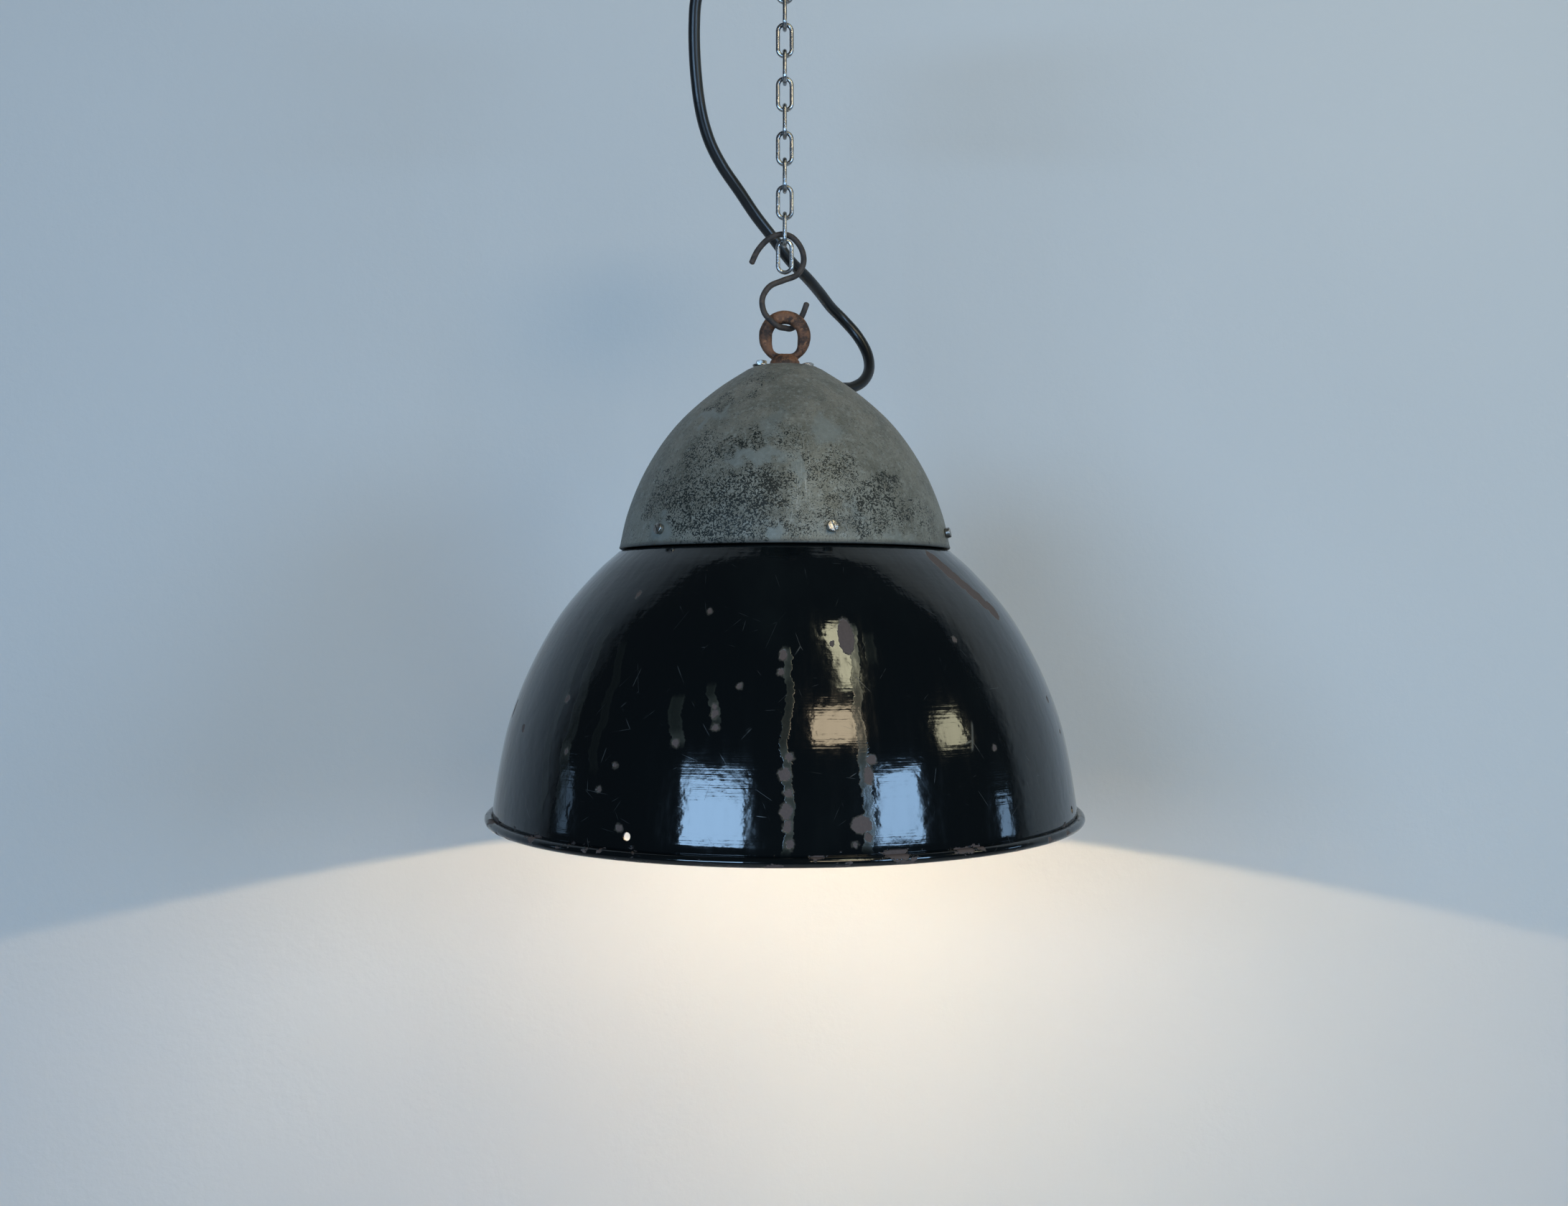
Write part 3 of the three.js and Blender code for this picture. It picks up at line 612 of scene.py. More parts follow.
class Finishes:
    """Every material of the lamp, made once."""

    def __init__(self) -> None:
        """Build the materials."""
        self.enamel = BlackEnamel().build()
        self.white = WhiteEnamel().build()
        self.cast = CastAluminium().build()
        self.glass = LitGlass().build()
        self.rust = Rust("rusty_iron").build()
        wire = ((0.035, 0.028, 0.025), (0.07, 0.052, 0.042), (0.12, 0.08, 0.055))
        self.hook = Rust("dark_iron", *wire, depth=0.00016).build()
        zinc = ((0.50, 0.51, 0.52), (0.20, 0.20, 0.20), 1.0, 0.16, 0.34, 1400, 0.00004, 160)
        self.zinc = Metal("zinc_steel", *zinc).build()
        steel = ((0.52, 0.50, 0.46), (0.22, 0.20, 0.18), 1.0, 0.22, 0.45, 1600, 0.00005, 320)
        self.screw = Metal("screw_steel", *steel).build()
        brass = ((0.72, 0.50, 0.22), (0.40, 0.26, 0.10), 1.0, 0.2, 0.42, 1500, 0.00003, 130)
        self.brass = Metal("brass", *brass).build()
        self.rose = Plain("rose_enamel", (0.018, 0.019, 0.021), 0.34, 0.08, 700, 0.00003, 0.3).build()
        self.rubber = Plain("black_rubber", (0.011, 0.013, 0.015), 0.40, 0.10, 1800, 0.00003).build()
        sheath = ((0.008, 0.009, 0.010), 0.34, 0.08, 1800, 0.00003)
        self.cable = Plain("black_cable", *sheath, attribute="lay").build()
        self.porcelain = Plain("porcelain", (0.80, 0.78, 0.72), 0.16, 0.05, 260, 0.00003, 0.4).build()
        self.bakelite = Plain("bakelite", (0.055, 0.028, 0.016), 0.3, 0.08, 300, 0.00003).build()
        self.live = Plain("brown_insulation", (0.16, 0.07, 0.03), 0.4).build()
        self.neutral = Plain("blue_insulation", (0.03, 0.08, 0.30), 0.4).build()


# ---------------------------------------------------------------- meshes


def curve_through(points: Sequence[Point], spacing: float) -> np.ndarray:
    """Follow a smooth line through points at an even spacing.

    Args:
        points: The points, of any dimension.
        spacing: The distance between the samples returned.

    Returns:
        The samples, one row each, with both ends kept.
    """
    knots = np.array(points, float)
    knots = np.vstack([2 * knots[0] - knots[1], knots, 2 * knots[-1] - knots[-2]])
    samples: list[np.ndarray] = []
    for i in range(1, len(knots) - 2):
        four = knots[i - 1 : i + 3]
        gaps = np.maximum(np.linalg.norm(np.diff(four, axis=0), axis=1) ** 0.5, 1e-9)
        one, two, three = (four[k + 1] - four[k] for k in range(3))
        slope_a = one / gaps[0] - (one + two) / (gaps[0] + gaps[1]) + two / gaps[1]
        slope_b = two / gaps[1] - (two + three) / (gaps[1] + gaps[2]) + three / gaps[2]
        slope_a, slope_b = slope_a * gaps[1], slope_b * gaps[1]
        for t in np.linspace(0, 1, 24, endpoint=False):
            line = (2 * t**3 - 3 * t**2 + 1) * four[1] + (t**3 - 2 * t**2 + t) * slope_a
            samples.append(line + (3 * t**2 - 2 * t**3) * four[2] + (t**3 - t**2) * slope_b)
    samples.append(knots[-2])
    dense = np.array(samples)
    lengths = np.concatenate([[0], np.cumsum(np.linalg.norm(np.diff(dense, axis=0), axis=1))])
    wanted = np.linspace(0, lengths[-1], max(2, round(lengths[-1] / spacing) + 1))
    return np.column_stack([np.interp(wanted, lengths, dense[:, k]) for k in range(dense.shape[1])])


def outward(turn: float, rise: float = 0.0) -> Vector:
    """Return the direction at a turn from the front, positive to the right, and a rise, in degrees."""
    a, b = math.radians(turn), math.radians(rise)
    return Vector((math.sin(a) * math.cos(b), -math.cos(a) * math.cos(b), math.sin(b)))


@dataclass
class Shell:
    """Vertices and faces of one mesh, put together from parts."""

    points: list[Point] = field(default_factory=list)
    faces: list[tuple[int, ...]] = field(default_factory=list)
    slots: list[int] = field(default_factory=list)

    def add(self, points: Iterable[Point], faces: Iterable[Sequence[int]], slot: int = 0) -> "Shell":
        """Add a part.

        Args:
            points: The part's vertices.
            faces: Its faces, numbered within the part.
            slot: The number of its material.

        Returns:
            This shell.
        """
        start = len(self.points)
        self.points.extend(tuple(p) for p in points)
        for face in faces:
            self.faces.append(tuple(start + i for i in face))
            self.slots.append(slot)
        return self

    def moved(self, matrix: Matrix) -> "Shell":
        """Place every vertex with a matrix."""
        self.points = [tuple(matrix @ Vector(p)) for p in self.points]
        return self

    def join(self, other: "Shell") -> "Shell":
        """Add another shell."""
        start = len(self.points)
        self.points.extend(other.points)
        self.faces.extend(tuple(start + i for i in face) for face in other.faces)
        self.slots.extend(other.slots)
        return self

    def object(self, name: str, materials: Sequence[bpy.types.Material],
               sharp: float = 38.0) -> bpy.types.Object:
        """Make the mesh an object at the origin.

        Args:
            name: The object's name.
            materials: Its materials, in slot order.
            sharp: Edges that turn more than this many degrees stay sharp.

        Returns:
            The object, in the scene.
        """
        mesh = bpy.data.meshes.new(name)
        mesh.from_pydata([tuple(p) for p in self.points], [], self.faces)
        for material in materials:
            mesh.materials.append(material)
        mesh.polygons.foreach_set("material_index", self.slots)
        mesh.polygons.foreach_set("use_smooth", [True] * len(self.faces))
        mesh.validate()
        mesh.set_sharp_from_angle(angle=math.radians(sharp))
        made = bpy.data.objects.new(name, mesh)
        bpy.context.scene.collection.objects.link(made)
        return made


def millimetres(outline: Iterable[Point]) -> Ring:
    """Return an outline given in millimetres in metres."""
    return [[r * MM, z * MM] for r, z in outline]


def turned(outline: Sequence[Point], segments: int = 64, thread: Thread | None = None) -> Shell:
    """Turn an outline about Z.

    Args:
        outline: Radius and height of each point, down the outside first; a zero radius ends at a pole.
        segments: How many steps make a turn.
        thread: Extra radius for an angle and a height, for a screw thread.

    Returns:
        The closed shell; an outline that doesn't reach the axis is closed back to its start.
    """
    shell = Shell()
    points: list[Point] = []
    rows: list[list[int]] = []
    for radius, height in outline:
        if radius < 1e-9:
            rows.append([len(points)] * segments)
            points.append((0.0, 0.0, height))
            continue
        rows.append(list(range(len(points), len(points) + segments)))
        for k in range(segments):
            angle = 2 * math.pi * k / segments
            wide = radius + (thread(angle, height) if thread else 0.0)
            points.append((wide * math.sin(angle), -wide * math.cos(angle), height))
    closed = outline[0][0] > 1e-9 or outline[-1][0] > 1e-9
    pairs = list(zip(rows, rows[1:])) + ([(rows[-1], rows[0])] if closed else [])
    faces: list[tuple[int, ...]] = []
    for upper, lower in pairs:
        for k in range(segments):
            n = (k + 1) % segments
            corner = [upper[k], lower[k], lower[n], upper[n]]
            unique = tuple(dict.fromkeys(corner))
            if len(unique) > 2:
                faces.append(unique)
    return shell.add(points, faces)


def swept(line: np.ndarray, radius: float | np.ndarray, sides: int = 20, caps: bool = True) -> Shell:
    """Run a round wire along a line.

    Args:
        line: The centreline's points.
        radius: One radius, or one for each point.
        sides: How many sides the wire has.
        caps: Whether its ends are closed.

    Returns:
        The tube.
    """
    radii = np.broadcast_to(radius, len(line))
    tangents = np.gradient(line, axis=0)
    tangents /= np.linalg.norm(tangents, axis=1)[:, None]
    normal = Vector(tangents[0]).orthogonal().normalized()
    points: list[Point] = []
    for i, (centre, tangent) in enumerate(zip(line, tangents)):
        if i:
            turn = Vector(tangents[i - 1]).rotation_difference(Vector(tangent))
            normal = (turn @ normal).normalized()
        side = Vector(tangent).cross(normal).normalized()
        for k in range(sides):
            angle = 2 * math.pi * k / sides
            way = normal * math.cos(angle) + side * math.sin(angle)
            points.append(tuple(Vector(centre) + way * float(radii[i])))
    faces: list[tuple[int, ...]] = []
    for i in range(len(line) - 1):
        for k in range(sides):
            n = (k + 1) % sides
            faces.append((i * sides + k, i * sides + n, (i + 1) * sides + n, (i + 1) * sides + k))
    if caps:
        faces.append(tuple(reversed(range(sides))))
        last = (len(line) - 1) * sides
        faces.append(tuple(range(last, last + sides)))
    return Shell().add(points, faces)


def round_corners(outline: Sequence[Point], radius: float, steps: int = 3) -> Ring:
    """Round each corner of an open outline.

    Args:
        outline: Radius and height points.
        radius: The largest distance that a corner is cut back.
        steps: How many points replace a corner.

    Returns:
        The rounded outline.
    """
    rounded: Ring = [list(outline[0])]
    for before, corner, after in zip(outline, outline[1:], outline[2:]):
        a, b, c = (Vector((p[0], p[1])) for p in (before, corner, after))
        back = min(radius, (a - b).length * 0.45, (c - b).length * 0.45)
        start, end = b + (a - b).normalized() * back, b + (c - b).normalized() * back
        for k in range(steps + 1):
            t = k / steps
            point = start * (1 - t) ** 2 + b * 2 * t * (1 - t) + end * t**2
            rounded.append([point.x, point.y])
    rounded.append(list(outline[-1]))
    return rounded


def prism(across_flats: float, low: float, high: float, chamfer: float) -> Shell:
    """Make a hexagon nut or screw head about Z, with its corners chamfered at the top."""
    shell = Shell()
    wide = across_flats / math.sqrt(3)
    rings = [(wide, low), (wide, high - chamfer), (wide - chamfer, high)]
    points = [
        (r * math.sin(math.pi / 3 * k), -r * math.cos(math.pi / 3 * k), z) for r, z in rings for k in range(6)
    ]
    faces: list[tuple[int, ...]] = [tuple(reversed(range(6))), tuple(range(12, 18))]
    for i in range(2):
        low_row, high_row = i * 6, (i + 1) * 6
        for k in range(6):
            n = (k + 1) % 6
            faces.append((low_row + k, low_row + n, high_row + n, high_row + k))
    return shell.add(points, faces)


def aimed(direction: Vector, at: Vector, roll: float = 0.0) -> Matrix:
    """Return the matrix that takes +Z to a direction and the origin to a point, after a roll in degrees."""
    turn = Vector((0, 0, 1)).rotation_difference(direction)
    spin = Quaternion((0, 0, 1), math.radians(roll))
    return Matrix.Translation(at) @ (turn @ spin).to_matrix().to_4x4()


def frozen(source: bpy.types.Object, name: str) -> bpy.types.Object:
    """Turn an object with its modifiers into a plain mesh object.

    Args:
        source: The object; it is removed.
        name: The new object's name.

    Returns:
        The plain object, in the scene.
    """
    bpy.context.view_layer.update()
    graph = bpy.context.evaluated_depsgraph_get()
    mesh = bpy.data.meshes.new_from_object(source.evaluated_get(graph), depsgraph=graph)
    bpy.data.objects.remove(source)
    mesh.name = name
    made = bpy.data.objects.new(name, mesh)
    bpy.context.scene.collection.objects.link(made)
    return made


# ---------------------------------------------------------------- geometry node trees


class Tree:
    """A geometry node tree with named inputs, set by their identifiers."""

    def __init__(self, name: str) -> None:
        """Start a tree.

        Args:
            name: The tree's name.
        """
        self.group = bpy.data.node_groups.new(name, "GeometryNodeTree")
        self.group.interface.new_socket("Geometry", in_out="OUTPUT", socket_type="NodeSocketGeometry")
        self.start = self.group.nodes.new("NodeGroupInput")
        self.end = self.group.nodes.new("NodeGroupOutput")
        self.values: dict[str, object] = {}

    def size(self, name: str, value: float | int | bpy.types.Object) -> Socket:
        """Add a named input.

        Args:
            name: What the input is called.
            value: Its value; the type follows from it.

        Returns:
            The socket that carries it inside the tree.
        """
        kinds = {int: "NodeSocketInt", float: "NodeSocketFloat", bpy.types.Object: "NodeSocketObject"}
        socket = self.group.interface.new_socket(name, in_out="INPUT", socket_type=kinds[type(value)])
        self.values[socket.identifier] = value
        return self.start.outputs[name]

    def node(self, kind: str, inputs: dict[int | str, Value], **settings: object) -> bpy.types.Node:
        """Add a node, as Graph.node does."""
        made = self.group.nodes.new(kind)
        for key, setting in settings.items():
            setattr(made, key, setting)
        for key, value in inputs.items():
            if isinstance(value, Socket):
                self.group.links.new(value, made.inputs[key])
            else:
                made.inputs[key].default_value = value
        return made

    def math(self, operation: str, a: Value, b: Value = 0.0) -> Socket:
        """Return one sum of two values."""
        return self.node("ShaderNodeMath", {0: a, 1: b}, operation=operation).outputs[0]

    def run(self, name: str, instances: Socket, material: bpy.types.Material) -> bpy.types.Object:
        """Realise the instances, give them a material and turn them into a plain mesh object.

        Args:
            name: The new object's name.
            instances: The tree's result.
            material: Its material.

        Returns:
            The plain object.
        """
        real = self.node("GeometryNodeRealizeInstances", {0: instances}).outputs[0]
        dressed = self.node("GeometryNodeSetMaterial", {"Geometry": real, "Material": material}).outputs[0]
        self.group.links.new(dressed, self.end.inputs[0])
        host = bpy.data.objects.new(name + "_host", bpy.data.meshes.new(name + "_host"))
        bpy.context.scene.collection.objects.link(host)
        modifier = host.modifiers.new(self.group.name, "NODES")
        modifier.node_group = self.group
        for identifier, value in self.values.items():
            modifier[identifier] = value
        made = frozen(host, name)
        made.data.polygons.foreach_set("use_smooth", [True] * len(made.data.polygons))
        made.data.set_sharp_from_angle(angle=math.radians(38))
        return made


# ---------------------------------------------------------------- pieces


def settle(piece: bpy.types.Object, body: Body, slot: Slot, *nodes: str) -> bpy.types.Object:
    """Ride a piece on its body in place of its solids.

    Args:
        piece: The finished piece.
        body: The body it moves with.
        slot: Not used.
        *nodes: The solids it stands for.

    Returns:
        The piece.
    """
    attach(piece, body.value)
    if nodes:
        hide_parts(*nodes)
    LOG.info("%s: %d faces on %s", piece.name, len(piece.data.polygons), body.value)
    return piece


@dataclass
class Studio:
    """The camera, the lights and the pale surroundings."""

    eye: tuple[float, float, float] = (0.0, -0.977, -0.510)
    lens: float = 32.08
    shift: tuple[float, float] = (-0.0005, 0.0023)
    wall_distance: float = 0.5
    filament: float = -0.599
    room: float = 0.05

    def camera(self) -> None:
        """Set up the level camera in front of the lamp."""
        data = bpy.data.cameras.new("camera")
        data.sensor_width = 36.0
        data.lens = self.lens
        data.shift_x, data.shift_y = self.shift
        data.clip_start = 0.01
        made = bpy.data.objects.new("camera", data)
        made.location = self.eye
        made.rotation_euler = (math.pi / 2, 0, 0)
        bpy.context.scene.collection.objects.link(made)
        bpy.context.scene.camera = made

    def softbox(self, name: str, turn: float, rise: float, size: Point, radiance: float, colour: Point,
                distance: float = 3.0, middle: Point = (0, 0, -0.56)) -> None:
        """Hang an area light that faces the lamp.

        Args:
            name: The light's name.
            turn: How far round from the front it hangs, in degrees.
            rise: How far above level, in degrees.
            size: Its width and height in metres.
            radiance: How bright its face is.
            colour: Its colour.
            distance: How far away it is.
            middle: The point it faces.
        """
        data = bpy.data.lights.new(name, "AREA")
        data.shape = "RECTANGLE"
        data.size, data.size_y = size
        data.energy = radiance * size[0] * size[1] * math.pi
        data.color = colour
        made = bpy.data.objects.new(name, data)
        way = outward(turn, rise)
        made.location = Vector(middle) + way * distance
        made.rotation_euler = way.to_track_quat("Z", "Y").to_euler()
        bpy.context.scene.collection.objects.link(made)

    def lights(self) -> None:
        """Hang the windows, the small panels and the soft light behind, and light the bulb."""
        blue, cream, tan = (0.40, 0.66, 1.0), (1.0, 0.96, 0.66), (1.0, 0.82, 0.56)
        self.softbox("window_left", -25.5, 7.0, (1.18, 0.66), 17.0, blue)
        self.softbox("window_right", 41.5, 7.0, (0.92, 0.66), 15.0, blue)
        self.softbox("window_far_left", -88, 2.0, (0.22, 0.46), 1.3, blue)
        self.softbox("window_far_right", 88, -1.0, (0.30, 0.46), 4.5, blue)
        self.softbox("lamp_high", 31.5, 50, (0.32, 1.0), 10.0, cream)
        self.softbox("panel_front", 21, 30, (0.85, 0.52), 10.0, tan)
        self.softbox("panel_right", 70, 21, (0.58, 0.42), 7.0, cream)
        self.softbox("behind", 165, 48, (1.8, 1.0), 2.0, (0.9, 0.95, 1.0), 2.0)
        data = bpy.data.lights.new("filament", "POINT")
        data.energy, data.color, data.shadow_soft_size = 17.0, (1.0, 0.74, 0.44), 0.004
        made = bpy.data.objects.new("filament", data)
        made.location = (0, 0, self.filament)
        bpy.context.scene.collection.objects.link(made)

    def world(self) -> None:
        """Make a dim room that is pale where it is seen directly."""
        world = bpy.data.worlds.new("room")
        world.use_nodes = True
        tree = world.node_tree
        dim = tree.nodes["Background"]
        dim.inputs[0].default_value = (0.62, 0.76, 0.90, 1)
        dim.inputs[1].default_value = self.room
        pale = tree.nodes.new("ShaderNodeBackground")
        pale.inputs[0].default_value = (0.42, 0.50, 0.56, 1)
        mix = tree.nodes.new("ShaderNodeMixShader")
        tree.links.new(tree.nodes.new("ShaderNodeLightPath").outputs["Is Camera Ray"], mix.inputs[0])
        tree.links.new(dim.outputs[0], mix.inputs[1])
        tree.links.new(pale.outputs[0], mix.inputs[2])
        tree.links.new(mix.outputs[0], tree.nodes["World Output"].inputs[0])
        bpy.context.scene.world = world
        bpy.context.scene.view_settings.view_transform = "Standard"

    def one_sided(self, g: Graph) -> bpy.types.Material:
        """Make a finished wall clear from behind, so that it hides nothing from there."""
        output = next(n for n in g.tree.nodes if n.bl_idname == "ShaderNodeOutputMaterial")
        clear = g.tree.nodes.new("ShaderNodeBsdfTransparent")
        back = g.tree.nodes.new("ShaderNodeNewGeometry").outputs["Backfacing"]
        mix = g.node("ShaderNodeMixShader", {0: back, 1: g.shader.outputs[0], 2: clear.outputs[0]})
        g.tree.links.new(mix.outputs[0], output.inputs["Surface"])
        return g.material

    def surroundings(self) -> None:
        """Stand a pale wall close behind the lamp and a pale floor far below it."""
        g = Graph("wall")
        patchy = g.noise(1.6, 3, 0.5)
        g.finish(
            Base_Color=g.blend(patchy, (0.655, 0.66, 0.655), (0.73, 0.725, 0.71)),
            Roughness=0.9, Normal=g.bump(g.noise(60, 4, 0.6), 0.0006),
        )
        wall = self.one_sided(g)
        floor = Graph("floor").finish(Base_Color=(0.72, 0.70, 0.66), Roughness=0.85)
        y = self.wall_distance
        back = Shell().add([(-5, y, -2.0), (5, y, -2.0), (5, y, 2.4), (-5, y, 2.4)], [(0, 1, 2, 3)])
        back.object("wall_behind", [wall])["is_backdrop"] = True
        ground = Shell().add([(-5, -5, -2.0), (5, -5, -2.0), (5, y, -2.0), (-5, y, -2.0)], [(0, 1, 2, 3)])
        ground.object("floor_below", [floor])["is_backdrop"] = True


@dataclass
class SupplyCable:
    """The round black cable, a free line from the rose to the gland, and its sleeve at the cap."""

    radius: float = 4.2
    route: tuple[tuple[float, float, float], ...] = (
        (-50, 2, -12), (-50, 2, -25), (-50, 2, -38), (-55, 4, -60), (-62.5, 8, -82), (-64, 11, -99),
        (-64, 14, -116), (-63, 17, -133), (-61, 20, -150), (-58, 24, -164), (-53, 28, -178),
        (-45, 33, -192), (-33, 39, -208), (-21.5, 44.8, -223.7), (-8.6, 52, -238.6), (4, 62, -252.8),
        (17, 77.3, -262.2), (26.8, 92.8, -269.8), (36, 105.8, -278.3), (45.6, 113, -286.2),
        (56.7, 114.4, -298.6), (64.1, 109.2, -313.7), (64.9, 100.4, -327.4), (59.6, 90.5, -338),
        (50.6, 81.7, -344),
    )
    gland: tuple[float, float, float] = (26.8, 46.9, -364.6)
    straight: tuple[float, ...] = (36, 18, -13)
    cuts: tuple[float, ...] = (0, 75, 142, 265, 1000)
    sleeve_length: float = 30.0
    boss_rise: float = 4.0
    boss_hole: float = 7.3

    @property
    def way(self) -> Vector:
        """Return the direction in which the gland points."""
        return outward(150.7, 30.9)

    def line(self) -> np.ndarray:
        """Return the cable's centreline in metres."""
        axis = [tuple(Vector(self.gland) + self.way * away) for away in self.straight]
        return curve_through([*self.route, *axis], 2.0) * MM

    def build(self, finish: Finishes) -> None:
        """Args:
            finish: The lamp's materials.
        """
        line = self.line()
        run = np.concatenate([[0], np.cumsum(np.linalg.norm(np.diff(line, axis=0), axis=1))])
        names = ("top", "upper", "middle", "lower")
        zones = (
            ((-50, 2, -40), (-60, 7, -78)), ((-64, 10, -92), (-62, 19, -142)),
            ((-57, 25, -166), (-10, 50, -236)), ((6, 64, -254), (58, 113, -301)),
        )
        for number, (name, (start, end)) in enumerate(zip(names, zones)):
            low, high = self.cuts[number] * MM, min(self.cuts[number + 1] * MM, run[-1])
            inside = (run > low + 0.0005) & (run < high - 0.0005)
            ends = [np.array([np.interp(at, run, line[:, k]) for k in range(3)]) for at in (low, high)]
            part = np.vstack([ends[0], line[inside], ends[1]])
            made = swept(part, self.radius * MM, 24).object(f"supply_cable_{name}", [finish.cable], 50)
            # Each point's place at rest, so that the sheath's pattern stays on the cable as it bends.
            lay = made.data.attributes.new("lay", "FLOAT_VECTOR", "POINT")
            lay.data.foreach_set("vector", np.array([v.co for v in made.data.vertices]).ravel())
            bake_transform(made)
            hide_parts(f"supply_cable_{name}")
            LOG.info("%s: %.0f mm", made.name, (high - low) / MM)

    def build_sleeve(self, finish: Finishes) -> None:
        """Fit the ribbed sleeve that eases the cable into the cap.

        Args:
            finish: The lamp's materials.
        """
        bore = self.radius + 0.12
        seat = self.boss_rise + 0.1
        body: Ring = [[bore, self.sleeve_length], [6.0, self.sleeve_length]]
        ribs = 6
        for k in range(ribs):
            z = self.sleeve_length - 3.0 - k * 3.3
            wide = 6.2 + 0.34 * k
            body += [[wide, z + 1.3], [wide, z], [wide - 0.9, z - 0.5], [wide - 0.8, z - 1.4]]
        body += [[9.6, seat + 3.2], [9.9, seat + 2.2], [9.9, seat], [self.boss_hole - 0.3, seat]]
        body += [[7.0, -12], [bore, -12]]
        place = aimed(self.way, Vector(self.gland) * MM)
        sleeve = turned(millimetres(round_corners(body, 0.5)), 48).moved(place)
        settle(sleeve.object("cable_sleeve", [finish.rubber], 60), Body.LAMP, Slot.RUBBER, "cable_sleeve")


@dataclass
class CeilingRose:
    """The assumed rose: its cover, ring hook, nut and cable bush, over the frame's own backplate."""

    radius: float = 68.0
    drop: float = 24.0
    wall: float = 1.2
    ring_radius: float = 9.0
    ring_wire: float = 2.25
    ring_height: float = -40.5
    cable_at: tuple[float, float] = (-50.0, 2.0)

    def build(self, finish: Finishes) -> None:
        """Make the rose's visible pieces.

        Args:
            finish: The lamp's materials.
        """
        low = -self.drop
        wide, room = self.radius, self.radius - self.wall
        outer = [[3.6, low], [60, low], [wide - 1.4, low + 5.4], [wide, low + 10], [wide, -0.6]]
        inner = [[room, -0.6], [room, low + 10], [59.6, low + 1.3], [3.6, low + 1.3]]
        outline = round_corners(outer, 3.5, 5)[::-1] + round_corners(inner, 3.0, 4)
        cover = turned(millimetres(outline), 128)
        settle(cover.object("rose_cover", [finish.rose]), Body.ROSE, Slot.ROSE_ENAMEL, "rose_cover")
        round_it = np.linspace(0, 2 * math.pi, 97)
        across, up = self.ring_radius * np.sin(round_it), -self.ring_radius * np.cos(round_it)
        loop = np.column_stack([across, 0 * round_it, self.ring_height + up])
        hook = swept(loop * MM, self.ring_wire * MM, 20, caps=False)
        stem = [(0, -4.4), (2.7, -4.4), (3, -5), (3, -31), (2.6, -32.6), (0, -32.6)]
        hook.join(turned(millimetres(stem), 32))
        settle(hook.object("ceiling_ring_hook", [finish.zinc]), Body.ROSE, Slot.ZINC, "ceiling_ring_hook")
        nut = prism(10 * MM, -28.9 * MM, -24.3 * MM, 0.5 * MM)
        settle(nut.object("rose_lock_nut", [finish.zinc], 30), Body.ROSE, Slot.ZINC, "rose_lock_nut")
        bush = [[4.35, low + 4], [7, low + 4], [7, low - 0.3], [9.2, low - 0.3], [9.2, low - 2.6],
                [7.6, low - 3.4], [6.9, low - 6], [6.6, low - 10], [6, low - 14], [4.35, low - 14]]
        place = Matrix.Translation((self.cable_at[0] * MM, self.cable_at[1] * MM, 0))
        made = turned(millimetres(round_corners(bush, 0.6)), 48).moved(place)
        settle(made.object("rose_cable_bush", [finish.rubber], 60), Body.ROSE, Slot.RUBBER, "rose_cable_bush")


